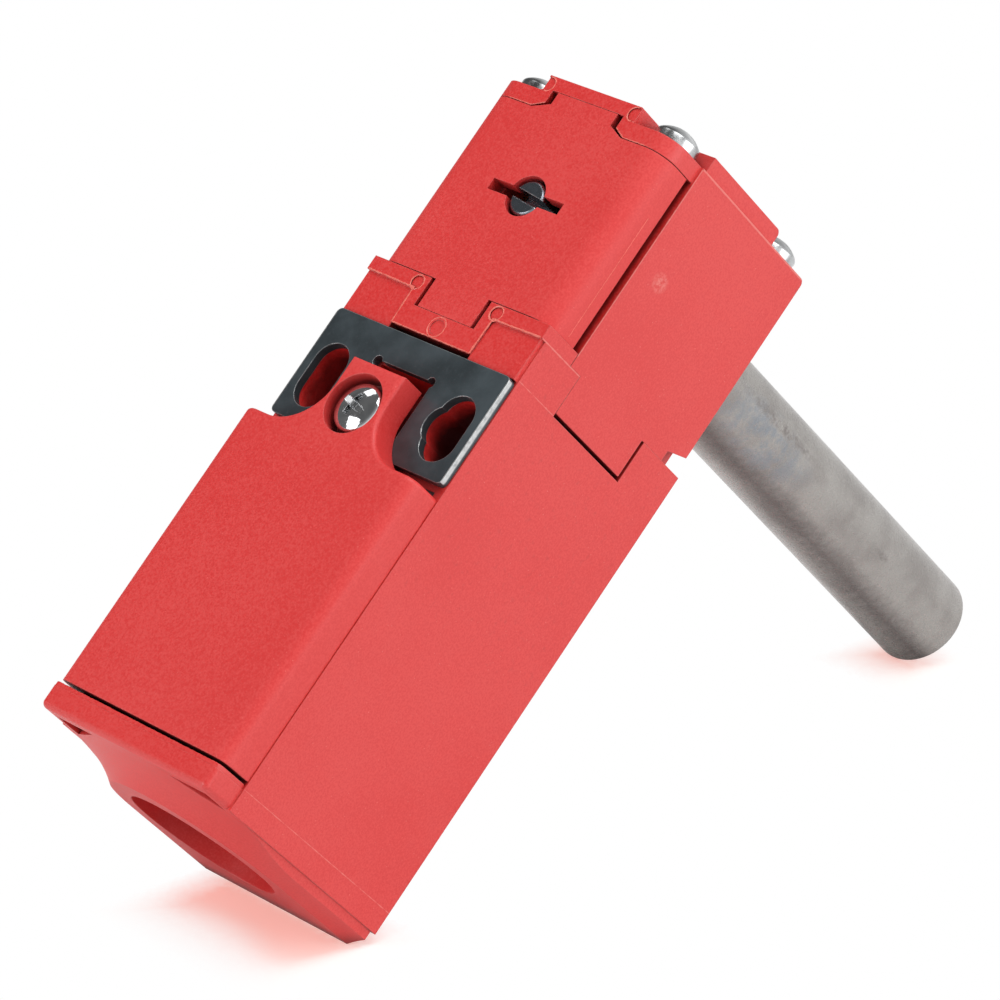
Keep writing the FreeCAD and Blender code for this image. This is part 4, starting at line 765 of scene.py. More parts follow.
@dataclass
class Finishes:
    """The finish of every material slot, and of the flash at the mould edges."""

    side: float = 12.25
    line_depth: float = 0.1

    def body_lines(self) -> tuple[Box, ...]:
        """The mould lines of the housing.

        Returns:
            A thin box for each line.
        """
        low, high = self.side - self.line_depth, self.side + self.line_depth
        return (
            *Box((low, -29.0, -61.85), (high, 0.0, -61.74)).both_sides(),
            *Box((low, -25.6, -12.3), (high, -18.6, -12.12)).both_sides(),
            Box((low, -25.2, -16.7), (high, -18.6, -16.6)),
        )

    def tunnel_shades(self) -> tuple[Box, ...]:
        """Painted shade inside the two fixing tunnels."""
        return Box((3.0, -24.7, -38.0), (12.15, -1.0, -11.0)).both_sides()

    def head_lines(self) -> tuple[Box, ...]:
        """The mould lines of the head's side walls.

        Returns:
            A thin box for each line.
        """
        low, high = self.side - self.line_depth, self.side + self.line_depth
        return (
            *Box((low, -20.6, -11.0), (high, -20.38, 10.4)).both_sides(),
            *Box((low, -20.4, 10.3), (high, -1.0, 10.6)).both_sides(),
        )

    def build(self) -> dict[Slot, bpy.types.Material]:
        """Builds the finishes.

        Returns:
            The material of each slot.
        """
        scuff = Spot((self.side, -16.85, -0.26), (0.6, 1.25, 1.1))
        smudge = Spot((4.6, 15.0, -0.6), (3.0, 10.0, 3.4))
        pit = Spot((4.7, 39.4, -0.1), (1.0, 1.5, 0.5))
        stain = Spot((4.8, 16.5, 1.5), (1.5, 9.0, 0.7))
        # Painted reflection: a brown band along the shaft's lower side, where it mirrors the shaded floor.
        painted_reflection_band = Box((1.4, 0.0, -5.6), (5.6, 57.0, -2.3))
        ground = Box((-6.0, -30.0, -6.0), (6.0, -18.0, 6.0))
        made = {
            Slot.BODY: MouldedRed("moulded_red_body", lines=self.body_lines(), shades=self.tunnel_shades()),
            Slot.COVER: MouldedRed("moulded_red_cover", roughness=0.52),
            Slot.HEAD: MouldedRed("moulded_red_head", lines=self.head_lines(), scuffs=(scuff,)),
            Slot.PANEL: MouldedRed("moulded_red_panel", roughness=0.54, edge_share=0.25),
            Slot.RUBBER: PlainMoulding("seal_rubber", linear(38, 38, 40), linear(62, 62, 64), 0.6),
            Slot.BRASS: PlatedMetal("turned_brass", linear(205, 170, 96), linear(160, 122, 62), 0.24),
            Slot.SCREW: PlatedMetal("bright_screw_plating"),
            Slot.PLATE: OxidePlate("blackened_plate"),
            Slot.SHAFT: HandledSteel("handled_shaft_steel", smudges=(smudge,), pits=(pit, stain),
                                     painted_reflection_band=(painted_reflection_band,), ground=(ground,)),
            Slot.INNER_STEEL: HandledSteel("inner_steel", roughness=0.3),
            Slot.SPRING: PlatedMetal("spring_wire", linear(190, 190, 192), linear(140, 140, 144), 0.2),
            Slot.INNER_PLASTIC: PlainMoulding("inner_plastic", linear(46, 46, 50), linear(74, 74, 78), 0.45),
        }
        return {slot: finish.build() for slot, finish in made.items()}

    def zinc(self) -> bpy.types.Material:
        """The duller plating of the head's screws."""
        return PlatedMetal("zinc_screw_plating", linear(196, 197, 198), linear(146, 147, 148), 0.22).build()

    def flash(self) -> bpy.types.Material:
        """The paler plastic of thin flash at the mould edges."""
        return MouldedRed("pale_flash", linear(246, 128, 112), linear(238, 104, 90), edge_radius=0.03,
                          edge_share=0.2).build()


# Shapes


def placed(name: str, data: bpy.types.ID) -> bpy.types.Object:
    """Puts an object in the scene.

    Args:
        name: The object's name.
        data: The mesh, lamp or camera that it shows.

    Returns:
        The object.
    """
    made = bpy.data.objects.new(name, data)
    bpy.context.scene.collection.objects.link(made)
    return made


def as_mesh(shape: bmesh.types.BMesh, name: str) -> bpy.types.Mesh:
    """Turns a worked shape into a mesh.

    Args:
        shape: The shape, which is used up.
        name: The mesh's name.

    Returns:
        The mesh.
    """
    mesh = bpy.data.meshes.new(name)
    shape.to_mesh(mesh)
    shape.free()
    return mesh


def skin(shape: bmesh.types.BMesh, rows: list[Row], closed: bool = False) -> None:
    """Joins rows of points into a tube.

    Args:
        shape: The shape that holds the points.
        rows: The points round the tube at each station.
        closed: Whether the last row joins the first, so that the tube needs no end caps.
    """
    pairs = list(zip(rows, rows[1:]))
    if closed:
        pairs.append((rows[-1], rows[0]))
    else:
        shape.faces.new(rows[0])
        shape.faces.new(rows[-1])
    for first, second in pairs:
        for side in range(len(first)):
            other = (side + 1) % len(first)
            shape.faces.new((first[side], first[other], second[other], second[side]))


def ring(middle: Vector, across: Vector, along: Vector, radius: float, count: int = 18) -> list[Vector]:
    """Points round a circle.

    Args:
        middle: Its middle.
        across: First direction in its plane.
        along: Second direction in its plane.
        radius: Its radius.
        count: Number of points.

    Returns:
        The points in order.
    """
    turns = [2 * math.pi * place / count for place in range(count)]
    return [middle + (across * math.cos(turn) + along * math.sin(turn)) * radius for turn in turns]


class Kit:
    """Adds finished pieces to the scene."""

    @staticmethod
    def add(name: str, mesh: bpy.types.Mesh, material: bpy.types.Material, slot: Slot,
            body: str = "housing") -> bpy.types.Object:
        """Adds a piece that moves with one of the bodies.

        Args:
            name: The piece's name.
            mesh: Its mesh, in metres.
            material: Its finish.
            slot: The record's slot that the finish stands for; not used.
            body: The body that carries it.

        Returns:
            The piece.
        """
        mesh.materials.clear()
        mesh.materials.append(material)
        piece = placed(name, mesh)
        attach(piece, body)
        LOG.info("made %s", name)
        return piece

    @staticmethod
    def mesh_of(shape: bmesh.types.BMesh, name: str, sharp: float = 35.0) -> bpy.types.Mesh:
        """Turns a worked shape in millimetres into a smooth-shaded mesh in metres.

        Args:
            shape: The shape, which is used up.
            name: The mesh's name.
            sharp: Angle in degrees from which an edge stays sharp.

        Returns:
            The mesh.
        """
        bmesh.ops.scale(shape, vec=(MM, MM, MM), verts=shape.verts)
        bmesh.ops.recalc_face_normals(shape, faces=shape.faces)
        mesh = as_mesh(shape, name)
        mesh.shade_smooth()
        mesh.set_sharp_from_angle(angle=math.radians(sharp))
        return mesh


@dataclass
class FlashLine:
    """A thin uneven ridge of plastic along a mould edge."""

    path: list[Vector]
    out: Vector
    width: float = 0.28
    height: float = 0.06
    step: float = 0.3
    sink: float = 0.03
    closed: bool = False
    crest_range: tuple[float, float] = (0.35, 1.0)
    lean_range: tuple[float, float] = (-0.22, 0.22)
    half_range: tuple[float, float] = (0.35, 0.55)

    def stations(self) -> list[Vector]:
        """The points along the ridge, a step apart.

        Returns:
            The points in order.
        """
        corners = self.path + self.path[:1] if self.closed else self.path
        points = []
        for start, end in zip(corners, corners[1:]):
            count = max(1, round((end - start).length / self.step))
            points += [start.lerp(end, place / count) for place in range(count)]
        return points if self.closed else points + [corners[-1]]

    def lay(self, shape: bmesh.types.BMesh, draw: random.Random) -> None:
        """Adds the ridge to a shape.

        Args:
            shape: The shape that takes it.
            draw: Where the unevenness comes from.
        """
        points = self.stations()
        last = len(points) - 1
        rows = []
        for place, point in enumerate(points):
            after = points[(place + 1) % len(points)] if self.closed or place < last else point
            before = points[place - 1] if self.closed or place > 0 else point
            across = (after - before).cross(self.out).normalized()
            crest = self.out * self.height * draw.uniform(*self.crest_range)
            lean = across * self.width * draw.uniform(*self.lean_range)
            half = across * self.width * draw.uniform(*self.half_range)
            base = point - self.out * self.sink
            rows.append([shape.verts.new(v) for v in (base - half, point + crest + lean, base + half)])
        skin(shape, rows, self.closed)


@dataclass
class ScrewForm:
    """A round-head screw with a cross recess and a driving slot, standing on its seat."""

    head_radius: float
    rim_height: float
    dome_height: float
    shank_radius: float
    shank_length: float
    slot_reach: float
    cross_reach: float
    slot_width: float = 0.55
    cross_width: float = 0.7
    slot_depth: float = 0.7
    cross_depth: float = 1.25
    point: float = 0.6
    foot: float = 0.12
    tip_share: float = 0.6
    rim_soft: float = 0.4
    bottom_taper: float = 0.55
    top_taper: float = 1.45
    sides: int = 64
    dome_steps: int = 12

    def profile(self) -> list[Vector]:
        """The turned outline, from the tip to the crown.

        Returns:
            Points with the radius in x and the height in z.
        """
        bend = (self.head_radius ** 2 + self.dome_height ** 2) / (2 * self.dome_height)
        reach = math.asin(min(1.0, self.head_radius / bend))
        crown = self.rim_height + self.dome_height
        dome = [(bend * math.sin(reach * share), crown - bend * (1 - math.cos(reach * share)))
                for share in (step / self.dome_steps for step in range(self.dome_steps, -1, -1))]
        soft = [(self.head_radius, self.rim_height - self.foot)]
        low = [(0.0, -self.shank_length), (self.shank_radius * self.tip_share, -self.shank_length),
               (self.shank_radius, self.point - self.shank_length), (self.shank_radius, 0.0),
               (self.head_radius - self.foot, 0.0), (self.head_radius, self.foot)]
        dome[0] = (self.head_radius - self.foot * self.rim_soft, self.rim_height)
        return [Vector((radius, 0.0, height)) for radius, height in low + soft + dome]

    def blank(self) -> bmesh.types.BMesh:
        """The turned screw before its recess is struck.

        Returns:
            The closed shape.
        """
        shape = bmesh.new()
        chain = [shape.verts.new(point) for point in self.profile()]
        edges = [shape.edges.new(pair) for pair in zip(chain, chain[1:])]
        bmesh.ops.spin(shape, geom=chain + edges, cent=(0, 0, 0), axis=(0, 0, 1), angle=2 * math.pi,
                       steps=self.sides)
        bmesh.ops.remove_doubles(shape, verts=shape.verts, dist=1e-5)
        return shape

    def wedge(self, reach: float, width: float, depth: float, turn: float) -> bmesh.types.BMesh:
        """A tapered bar that strikes one arm of the recess.

        Args:
            reach: Half its length at the crown.
            width: Its width at the crown.
            depth: Its depth under the crown.
            turn: Its angle round the axis, in degrees.

        Returns:
            The closed shape.
        """
        shape = bmesh.new()
        crown = self.rim_height + self.dome_height
        spin = Matrix.Rotation(math.radians(turn), 3, "Z")
        rows = []
        for height, taper in ((crown - depth, self.bottom_taper), (crown + depth, self.top_taper)):
            half, side = reach * taper, width / 2 * (0.5 + taper / 2)
            corners = ((-half, -side), (half, -side), (half, side), (-half, side))
            rows.append([shape.verts.new(spin @ Vector((x, y, height))) for x, y in corners])
        skin(shape, rows)
        bmesh.ops.recalc_face_normals(shape, faces=shape.faces)
        return shape

    def struck(self) -> bmesh.types.BMesh:
        """The screw with its recess struck.

        Returns:
            The finished shape in millimetres, with its seat at zero height.
        """
        arms = ((self.slot_reach, self.slot_width, self.slot_depth, 0.0),
                (self.cross_reach, self.cross_width, self.cross_depth, 0.0),
                (self.cross_reach, self.cross_width, self.cross_depth, 90.0))
        worked = placed("screw_blank", as_mesh(self.blank(), "screw_blank"))
        tools = []
        for arm in arms:
            tool = placed("screw_punch", as_mesh(self.wedge(*arm), "screw_punch"))
            strike = worked.modifiers.new("strike", "BOOLEAN")
            strike.operation = "DIFFERENCE"
            strike.solver = "EXACT"
            strike.object = tool
            tools.append(tool)
        graph = bpy.context.evaluated_depsgraph_get()
        shape = bmesh.new()
        shape.from_mesh(worked.evaluated_get(graph).to_mesh())
        for used in tools + [worked]:
            bpy.data.objects.remove(used)
        return shape


# Sub-assemblies


class SubAssembly:
    """A group of CAD nodes that belong together."""

    nodes: tuple[str, ...] = ()

    def dress(self, materials: dict[Slot, bpy.types.Material]) -> None:
        """Gives every CAD node the finish of its slot.

        Args:
            materials: The material of each slot.
        """
        for name in self.nodes:
            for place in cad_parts[name].material_slots:
                place.material = materials[Slot(place.material.name.split(".")[0])]
            LOG.info("dressed %s", name)


@dataclass
class BodyAssembly(SubAssembly):
    """The housing with its cover, plate, seals and cover screw."""

    nodes = ("housing", "front_cover", "cover_gasket", "cover_insert", "cover_screw", "mounting_plate")
    half_width: float = 12.25
    rim_front: float = 25.7
    joint: float = -12.3
    leg_half: float = 5.55
    bar_low: float = -16.25
    notch_low: float = -13.9
    mark_level: float = -11.7
    mark_radius: float = 0.8
    middle_mark_radius: float = 1.05
    side_inset: float = 0.2
    flash_inset: float = 0.1
    bar_inset: float = 0.06
    flash_seed: int = 11
    sill_level: float = -61.85
    sill_half: float = 11.98
    sill_corner: float = 0.5
    sill_front: float = 29.1
    sill_back: float = 25.0
    sill_height: float = 0.45
    sill_edge: float = 0.14
    sill_soft: float = 0.3
    sill_step: float = 0.2
    sill_sink: float = 0.05
    sill_uneven: float = 0.02
    sill_seed: int = 5
    screw_seat: float = 26.75
    screw_level: float = -25.9
    screw_turn: float = -15.0

    def front_point(self, across: float, level: float) -> Vector:
        """A point on the front of the rim."""
        return Vector((across, -self.rim_front, level))

    def rim_flash(self, material: bpy.types.Material) -> None:
        """Lays flash along the rim's lower edges and round its ejector marks.

        Args:
            material: The finish of the flash.
        """
        draw = random.Random(self.flash_seed)
        shape = bmesh.new()
        out = Vector((0.0, -1.0, 0.0))
        edge = self.half_width - self.side_inset
        for sign in (-1.0, 1.0):
            path = [self.front_point(sign * edge, self.joint + self.flash_inset),
                    self.front_point(sign * self.leg_half, self.joint),
                    self.front_point(sign * (self.leg_half - self.flash_inset),
                                     self.bar_low + self.flash_inset)]
            FlashLine(path, out).lay(shape, draw)
            mark = self.front_point(sign * self.leg_half, self.mark_level)
            rim = ring(mark, Vector((1, 0, 0)), Vector((0, 0, 1)), self.mark_radius)
            FlashLine(rim, out, width=0.22, closed=True).lay(shape, draw)
        low = [self.front_point(across, self.bar_low + self.bar_inset)
               for across in (-self.leg_half, self.leg_half)]
        FlashLine(low, out, width=0.2, height=0.05).lay(shape, draw)
        middle = self.front_point(0.0, (self.bar_low + self.notch_low) / 2)
        rim = ring(middle, Vector((1, 0, 0)), Vector((0, 0, 1)), self.middle_mark_radius)
        FlashLine(rim, out, width=0.22, closed=True).lay(shape, draw)
        Kit.add("rim_flash", Kit.mesh_of(shape, "rim_flash"), material, Slot.BODY)

    def sill_lip(self, material: bpy.types.Material) -> None:
        """Makes the low lip on the flange that the cover closes down on.

        Args:
            material: The finish of the lip.
        """
        draw = random.Random(self.sill_seed)
        shape = bmesh.new()
        rows = []
        count = round(2 * self.sill_half / self.sill_step)
        for place in range(count + 1):
            across = self.sill_half * (2 * place / count - 1)
            top = self.sill_level + self.sill_height + draw.uniform(-self.sill_uneven, self.sill_uneven)
            past = max(0.0, abs(across) - self.sill_half + self.sill_corner)
            turned_in = self.sill_corner - math.sqrt(max(0.0, self.sill_corner ** 2 - past ** 2))
            front = self.sill_front - turned_in
            low = self.sill_level - self.sill_sink
            soft = self.sill_edge * self.sill_soft
            outline = ((self.sill_back, low), (self.sill_back, top - self.sill_edge),
                       (self.sill_back + self.sill_edge, top), (front - self.sill_edge, top),
                       (front - soft, top - soft), (front, top - self.sill_edge), (front, low))
            rows.append([shape.verts.new((across, -depth, level)) for depth, level in outline])
        skin(shape, rows)
        Kit.add("sill_lip", Kit.mesh_of(shape, "sill_lip"), material, Slot.BODY)

    def cover_screw(self, material: bpy.types.Material) -> None:
        """Makes the screw of the cover.

        Args:
            material: The finish of the screw.
        """
        form = ScrewForm(head_radius=2.6, rim_height=1.6, dome_height=0.78, shank_radius=1.5,
                         shank_length=6.2, slot_reach=1.75, cross_reach=1.25)
        shape = form.struck()
        place = Matrix.Translation((0.0, -self.screw_seat, self.screw_level))
        outward = Matrix.Rotation(math.radians(90.0), 4, "X")
        shape.transform(place @ outward @ Matrix.Rotation(math.radians(self.screw_turn), 4, "Z"))
        mesh = Kit.mesh_of(shape, "dressed_cover_screw")
        piece = Kit.add("dressed_cover_screw", mesh, material, Slot.SCREW)
        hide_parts("cover_screw")

    def build(self, materials: dict[Slot, bpy.types.Material], flash: bpy.types.Material) -> None:
        """Dresses the body and adds its detail.

        Args:
            materials: The material of each slot.
            flash: The finish of the flash.
        """
        self.dress(materials)
        self.rim_flash(flash)
        self.sill_lip(materials[Slot.BODY])
        self.cover_screw(materials[Slot.SCREW])


@dataclass
class HeadAssembly(SubAssembly):
    """The head with its panel, gasket, bushes, seal and screws."""

    nodes = ("head_housing", "head_front_panel", "head_screws", "head_gasket", "shaft_bush_rear",
             "shaft_bush_front", "shaft_seal")
    strip_front: float = 25.7
    strip_low: float = 8.7
    strip_round_start: float = 9.3
    notch_half: float = 4.9
    chamfer_run: float = 1.45
    chamfer_rise: float = 0.75
    mark_across: float = 5.9
    mark_level: float = 11.3
    mark_radius: float = 0.8
    cross_half: float = 6.25
    panel_half: float = 11.95
    panel_line: float = 22.6
    seam_levels: tuple[float, ...] = (-10.2, -3.0, 3.3)
    flash_inset: float = 0.06
    notch_inset: float = 0.05
    flash_seed: int = 23
    screw_across: float = 9.25
    screw_depths: tuple[float, float] = (22.3, 3.3)
    screw_turns: tuple[float, ...] = (25.0, -40.0, 10.0, 60.0)
    screw_seat: float = 10.15

    def front_point(self, across: float, level: float) -> Vector:
        """A point on the front of the cap strip."""
        return Vector((across, -self.strip_front, level))

    def strip_flash(self, material: bpy.types.Material) -> None:
        """Lays flash under the cap strip, round its marks and along the panel's sides.

        Args:
            material: The finish of the flash.
        """
        draw = random.Random(self.flash_seed)
        shape = bmesh.new()
        out = Vector((0.0, -1.0, 0.0))
        for sign in (-1.0, 1.0):
            low = self.strip_low + self.flash_inset
            path = [self.front_point(sign * self.strip_round_start, low),
                    self.front_point(sign * (self.notch_half + self.chamfer_run), low),
                    self.front_point(sign * (self.notch_half + self.notch_inset),
                                     self.strip_low + self.chamfer_rise)]
            FlashLine(path, out, width=0.16, height=0.05).lay(shape, draw)
            mark = self.front_point(sign * self.mark_across, self.mark_level)
            rim = ring(mark, Vector((-sign, 0, 0)), Vector((0, 0, 1)), self.mark_radius)
            arc = [point for point in rim if abs(point.x) < self.cross_half]
            arc.sort(key=lambda point: math.atan2(point.z - mark.z, sign * (mark.x - point.x)))
            FlashLine(arc, out, width=0.2, height=0.05).lay(shape, draw)
            seam = [Vector((sign * self.panel_half, -self.panel_line, level)) for level in self.seam_levels]
            FlashLine(seam, Vector((sign, 0.0, 0.0)), width=0.14, height=0.05).lay(shape, draw)
        Kit.add("strip_flash", Kit.mesh_of(shape, "strip_flash"), material, Slot.HEAD)

    def screws(self, material: bpy.types.Material) -> None:
        """Makes the four screws of the head.

        Args:
            material: The finish of the screws.
        """
        form = ScrewForm(head_radius=2.36, rim_height=1.4, dome_height=1.04, shank_radius=1.0,
                         shank_length=27.0, slot_reach=1.55, cross_reach=1.1)
        whole = bmesh.new()
        places = [(across, depth) for across in (-self.screw_across, self.screw_across)
                  for depth in self.screw_depths]
        for (across, depth), turn in zip(places, self.screw_turns):
            shape = form.struck()
            place = Matrix.Translation((across, -depth, self.screw_seat))
            shape.transform(place @ Matrix.Rotation(math.radians(turn), 4, "Z"))
            part = as_mesh(shape, "head_screw_part")
            whole.from_mesh(part)
            bpy.data.meshes.remove(part)
        mesh = Kit.mesh_of(whole, "dressed_head_screws")
        piece = Kit.add("dressed_head_screws", mesh, material, Slot.SCREW)
        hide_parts("head_screws")

    def build(self, materials: dict[Slot, bpy.types.Material], flash: bpy.types.Material,
              zinc: bpy.types.Material) -> None:
        """Dresses the head and adds its detail.

        Args:
            materials: The material of each slot.
            flash: The finish of the flash.
            zinc: The finish of the screws.
        """
        self.dress(materials)
        self.strip_flash(flash)
        self.screws(zinc)


class ShaftAssembly(SubAssembly):
    """The hinge shaft with its cam, pin and ring."""

    nodes = ("shaft", "cam", "cam_pin", "retaining_ring")


@dataclass
class ContactAssembly(SubAssembly):
    """The plunger and the contacts that it moves, inside the housing."""

    nodes = ("plunger", "plunger_guide", "plunger_seal", "bridge_carrier", "contact_bridges",
             "contact_springs", "return_spring", "contact_block", "fixed_contacts", "terminal_clamps",
             "terminal_screws")
    spring_turns: float = 5.0
    spring_wire: float = 0.28
    spring_travel: float = 2.2
    turn_steps: int = 28
    wire_sides: int = 10

    def return_spring(self, material: bpy.types.Material) -> None:
        """Makes the lifting spring, which rides on the plunger.

        Args:
            material: The finish of the wire.
        """
        low, high = (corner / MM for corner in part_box("return_spring"))
        middle = (low + high) / 2
        radius = (high.x - low.x) / 2 - self.spring_wire
        rise = high.z - low.z - 2 * self.spring_wire
        steps = round(self.spring_turns * self.turn_steps)
        shape = bmesh.new()
        rows = []
        for step in range(steps + 1):
            turn = 2 * math.pi * step / self.turn_steps
            out = Vector((math.cos(turn), math.sin(turn), 0.0))
            level = low.z + self.spring_wire + rise * step / steps
            core = Vector((middle.x, middle.y, level)) + out * radius
            wire = ring(core, out, Vector((0, 0, 1)), self.spring_wire, self.wire_sides)
            rows.append([shape.verts.new(point) for point in wire])
        skin(shape, rows)
        mesh = Kit.mesh_of(shape, "dressed_return_spring", sharp=60.0)
        piece = Kit.add("dressed_return_spring", mesh, material, Slot.SPRING, "plunger")
        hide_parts("return_spring")
        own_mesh(piece)

    def build(self, materials: dict[Slot, bpy.types.Material]) -> None:
        """Dresses the contacts and adds the lifting spring.

        Args:
            materials: The material of each slot.
        """
        self.dress(materials)
        self.return_spring(materials[Slot.SPRING])


# Camera, floor and light


@dataclass
class Camera:
    """The camera of the photograph, by its angles round the object."""

    azimuth: float = 44.265
    elevation: float = -10.641
    roll: float = 33.857
    aim: Point = (-8.757, 3.111, -20.277)
    distance: float = 536.38
    sensor: float = 36.0
    focal_share: float = 5.5076

    def back(self) -> Vector:
        """The direction from the aim to the camera.

        Returns:
            A vector of length one.
        """
        azimuth = math.radians(self.azimuth)
        elevation = math.radians(self.elevation)
        level = math.cos(elevation)
        return Vector((math.sin(azimuth) * level, -math.cos(azimuth) * level, math.sin(elevation)))

    def build(self) -> None:
        """Makes the scene's camera."""
        data = bpy.data.cameras.new("camera")
        data.sensor_width = self.sensor
        data.sensor_fit = "HORIZONTAL"
        data.lens = self.sensor * self.focal_share
        data.clip_start = 0.01
        data.clip_end = 20.0
        camera = placed("camera", data)
        turn = self.back().to_track_quat("Z", "Y").to_matrix().to_4x4()
        place = Vector(self.aim) * MM + self.back() * self.distance * MM
        roll = Matrix.Rotation(math.radians(self.roll), 4, "Z")
        camera.matrix_world = Matrix.Translation(place) @ turn @ roll
        bpy.context.scene.camera = camera


@dataclass(frozen=True)
class Lamp:
    """A soft square lamp that faces the switch."""

    name: str
    toward: Point
    size: float
    watts: float
    distance: float = 700.0
    middle: Point = (0.0, 5.0, -27.0)

    def build(self) -> None:
        """Hangs the lamp."""
        data = bpy.data.lights.new(self.name, "AREA")
        data.shape = "SQUARE"
        data.size = self.size * MM
        data.energy = self.watts
        lamp = placed(self.name, data)
        toward = Vector(self.toward).normalized()
        lamp.location = (Vector(self.middle) + toward * self.distance) * MM
        lamp.rotation_euler = toward.to_track_quat("Z", "Y").to_euler()


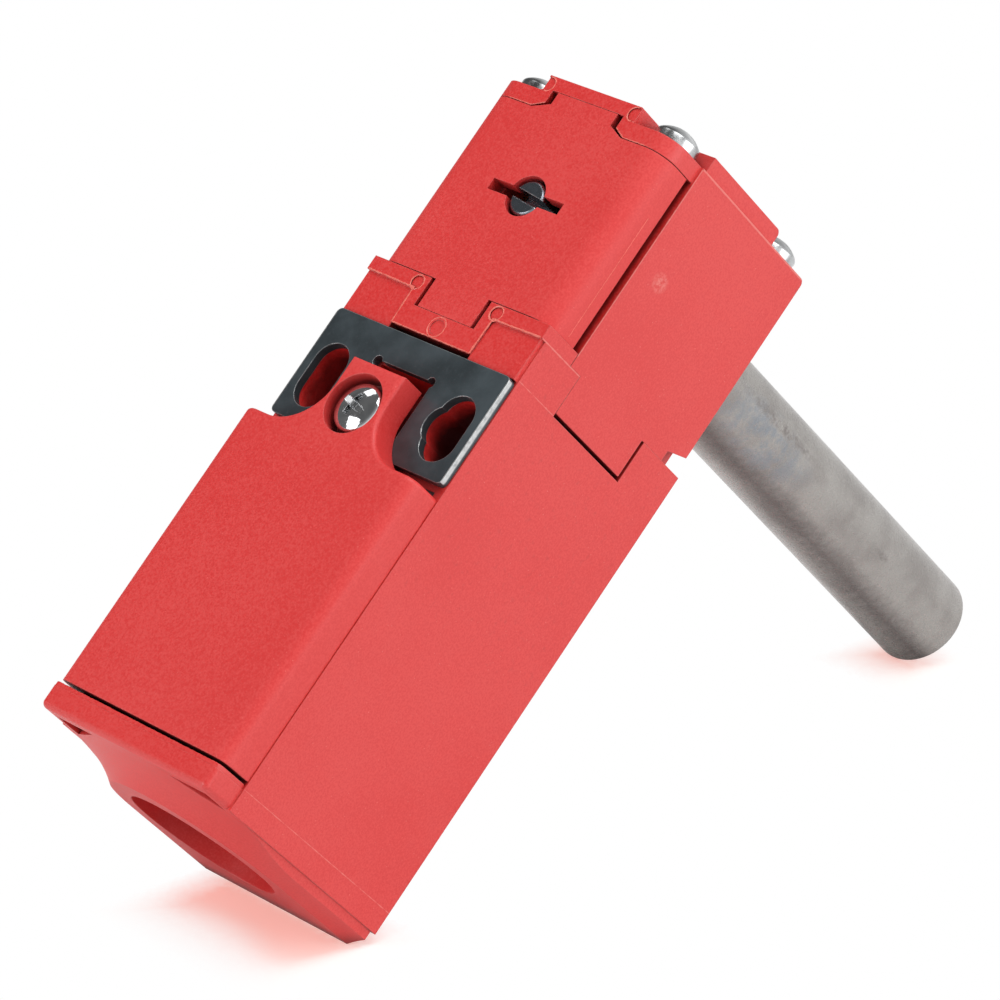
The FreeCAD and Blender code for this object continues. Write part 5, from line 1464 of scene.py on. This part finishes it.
@dataclass
class Studio:
    """The floor that the switch lies on, the white room and its lamps."""

    rest_low: Point = (0.0, -0.55, -66.25)
    rest_high: Point = (0.0, 55.8, -5.0)
    floor_reach: float = 900.0
    floor_gap: float = 0.05
    room_light: float = 0.45
    wall_side: Point = (-0.69, -0.70, 0.19)
    wall_dim: float = 0.12
    floor_white: float = 0.8
    floor_mirrored: float = 0.95
    contact_reach: float = 15.0
    # Boxes where the floor shows its painted contact shadow.
    contacts: tuple[Box, ...] = (
        Box((-11.0, -10.0, -77.0), (15.0, 4.0, -58.0)),
        Box((-6.0, 51.5, -10.0), (7.0, 60.0, 0.0)),
    )
    # Glow and fill of the painted contact shadow; the pink glow stands in for red light bounced from the
    # switch.
    shadow_glow: Colour = (0.70, 0.19, 0.14)
    shadow_fill: Colour = (0.5, 1.0, 1.0)
    lamps: tuple[Lamp, ...] = (
        Lamp("over_lamp", (0.25, -0.55, 0.78), 400.0, 2.15),
        Lamp("left_lamp", (-0.3, -0.84, -0.44), 350.0, 1.5),
        Lamp("right_lamp", (0.9, 0.15, 0.4), 600.0, 2.1),
        Lamp("glint_lamp", (-0.47, -0.57, 0.67), 220.0, 0.25),
    )

    def floor_up(self) -> Vector:
        """The direction that the floor faces."""
        along = Vector(self.rest_high) - Vector(self.rest_low)
        return Vector((1.0, 0.0, 0.0)).cross(along).normalized()

    def seen(self, bench: Bench, rays: bpy.types.NodeOutputs) -> Socket:
        """One for the rays that show the background as it is."""
        return bench.math("MAXIMUM", rays["Is Camera Ray"], rays["Is Transmission Ray"])

    def room(self) -> None:
        """Makes the white room, which lights the object plainly and mirrors with one dimmer wall."""
        world = bpy.data.worlds.new("white_room")
        world.use_nodes = True
        bench = Bench(world.node_tree)
        rays = bench.add("LightPath").outputs
        away = bench.add("TexCoord").outputs["Generated"]
        facing = bench.vector_math("DOT_PRODUCT", away, self.wall_side).outputs["Value"]
        mirrored = bench.ramp(facing, 0.0, 0.65, 1.0, self.wall_dim)
        level = bench.ramp(rays["Is Glossy Ray"], 0.0, 1.0, self.room_light, mirrored)
        seen = self.seen(bench, rays)
        background = bench.add("Background")
        background.inputs["Color"].default_value = (1.0, 1.0, 1.0, 1.0)
        bench.feed(background.inputs["Strength"], bench.ramp(seen, 0.0, 1.0, level, 1.0))
        output = bench.add("OutputWorld")
        bench.feed(output.inputs["Surface"], background.outputs[0])
        bpy.context.scene.world = world

    def lit(self, bench: Bench, matte: object, glow: object) -> Socket:
        """A matte surface with a glow of its own.

        Args:
            bench: The tree that takes the nodes.
            matte: Colour or socket of the matte surface.
            glow: Colour or socket of the glow.

        Returns:
            The socket of the joined shader.
        """
        diffuse = bench.add("BsdfDiffuse")
        bench.feed(diffuse.inputs["Color"], matte)
        emission = bench.add("Emission")
        bench.feed(emission.inputs["Color"], glow)
        emission.inputs["Strength"].default_value = 1.0
        both = bench.add("AddShader")
        bench.feed(both.inputs[0], diffuse.outputs[0])
        bench.feed(both.inputs[1], emission.outputs[0])
        return both.outputs[0]

    def either(self, bench: Bench, share: Socket, first: Socket, second: Socket) -> Socket:
        """Mixes two shaders.

        Args:
            bench: The tree that takes the node.
            share: How much of the second shader is used.
            first: The first shader.
            second: The second shader.

        Returns:
            The socket of the mixed shader.
        """
        node = bench.add("MixShader")
        for place, value in enumerate((share, first, second)):
            bench.feed(node.inputs[place], value)
        return node.outputs[0]

    def floor_finish(self) -> bpy.types.Material:
        """A pale floor that shows a painted contact shadow near the switch and can be looked through from
        below.

        Returns:
            The floor's material.
        """
        material = bpy.data.materials.new("pale_floor")
        material.use_nodes = True
        bench = Bench(material.node_tree)
        rays = bench.add("LightPath").outputs
        seen = self.seen(bench, rays)
        black, white = opaque((0.0, 0.0, 0.0)), opaque((1.0, 1.0, 1.0))
        pale, mirrored = opaque((self.floor_white,) * 3), opaque((self.floor_mirrored,) * 3)
        plain = self.lit(bench, bench.mix(rays["Is Glossy Ray"], pale, mirrored), black)
        # Painted contact shadow: an occlusion mask inside the contact boxes lets the floor's lit shading
        # through near the switch, tinted by a pink glow as painted red bounce light; elsewhere camera rays
        # see plain white glow.
        around = bench.add("AmbientOcclusion", samples=12)
        around.inputs["Distance"].default_value = self.contact_reach * MM
        near = bench.ramp(around.outputs["AO"], 0.5, 0.95, 1.0, 0.0)
        spots = 0.0
        for contact in self.contacts:
            spot = SHELF.use(bench, Effect.REGION, Low=contact.low, High=contact.high, Soft=5.0, Ragged=2.0)
            spots = bench.math("MAXIMUM", spots, spot["Mask"])
        near = bench.math("MULTIPLY", near, spots)
        shown = self.lit(bench, bench.mix(near, black, opaque(self.shadow_fill)),
                         bench.mix(near, white, opaque(self.shadow_glow)))
        front = self.either(bench, seen, plain, shown)
        below = bench.add("NewGeometry").outputs["Backfacing"]
        clear = bench.add("BsdfTransparent").outputs[0]
        output = bench.add("OutputMaterial")
        bench.feed(output.inputs["Surface"], self.either(bench, below, front, clear))
        return material

    def floor(self) -> None:
        """Lays the floor under the lowest points of the switch."""
        along = (Vector(self.rest_high) - Vector(self.rest_low)).normalized()
        across = Vector((1.0, 0.0, 0.0))
        middle = (Vector(self.rest_high) + Vector(self.rest_low)) / 2 - self.floor_up() * self.floor_gap
        corners = [middle + across * a * self.floor_reach + along * b * self.floor_reach
                   for a, b in ((-1, -1), (1, -1), (1, 1), (-1, 1))]
        mesh = bpy.data.meshes.new("floor")
        mesh.from_pydata([corner * MM for corner in corners], [], [(0, 1, 2, 3)])
        mesh.materials.append(self.floor_finish())
        floor = placed("floor", mesh)

    def build(self) -> None:
        """Makes the room, the floor and the lamps."""
        self.room()
        self.floor()
        for lamp in self.lamps:
            lamp.build()


def main() -> None:
    """Builds the scene in order."""
    logging.basicConfig(level=logging.INFO, format="%(message)s")
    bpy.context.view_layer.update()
    Camera().build()
    Studio().build()
    finishes = Finishes()
    materials = finishes.build()
    flash = finishes.flash()
    BodyAssembly().build(materials, flash)
    HeadAssembly().build(materials, flash, finishes.zinc())
    ShaftAssembly().dress(materials)
    ContactAssembly().build(materials)
    bpy.context.scene.view_settings.view_transform = "Standard"


if __name__ == "__main__":
    main()
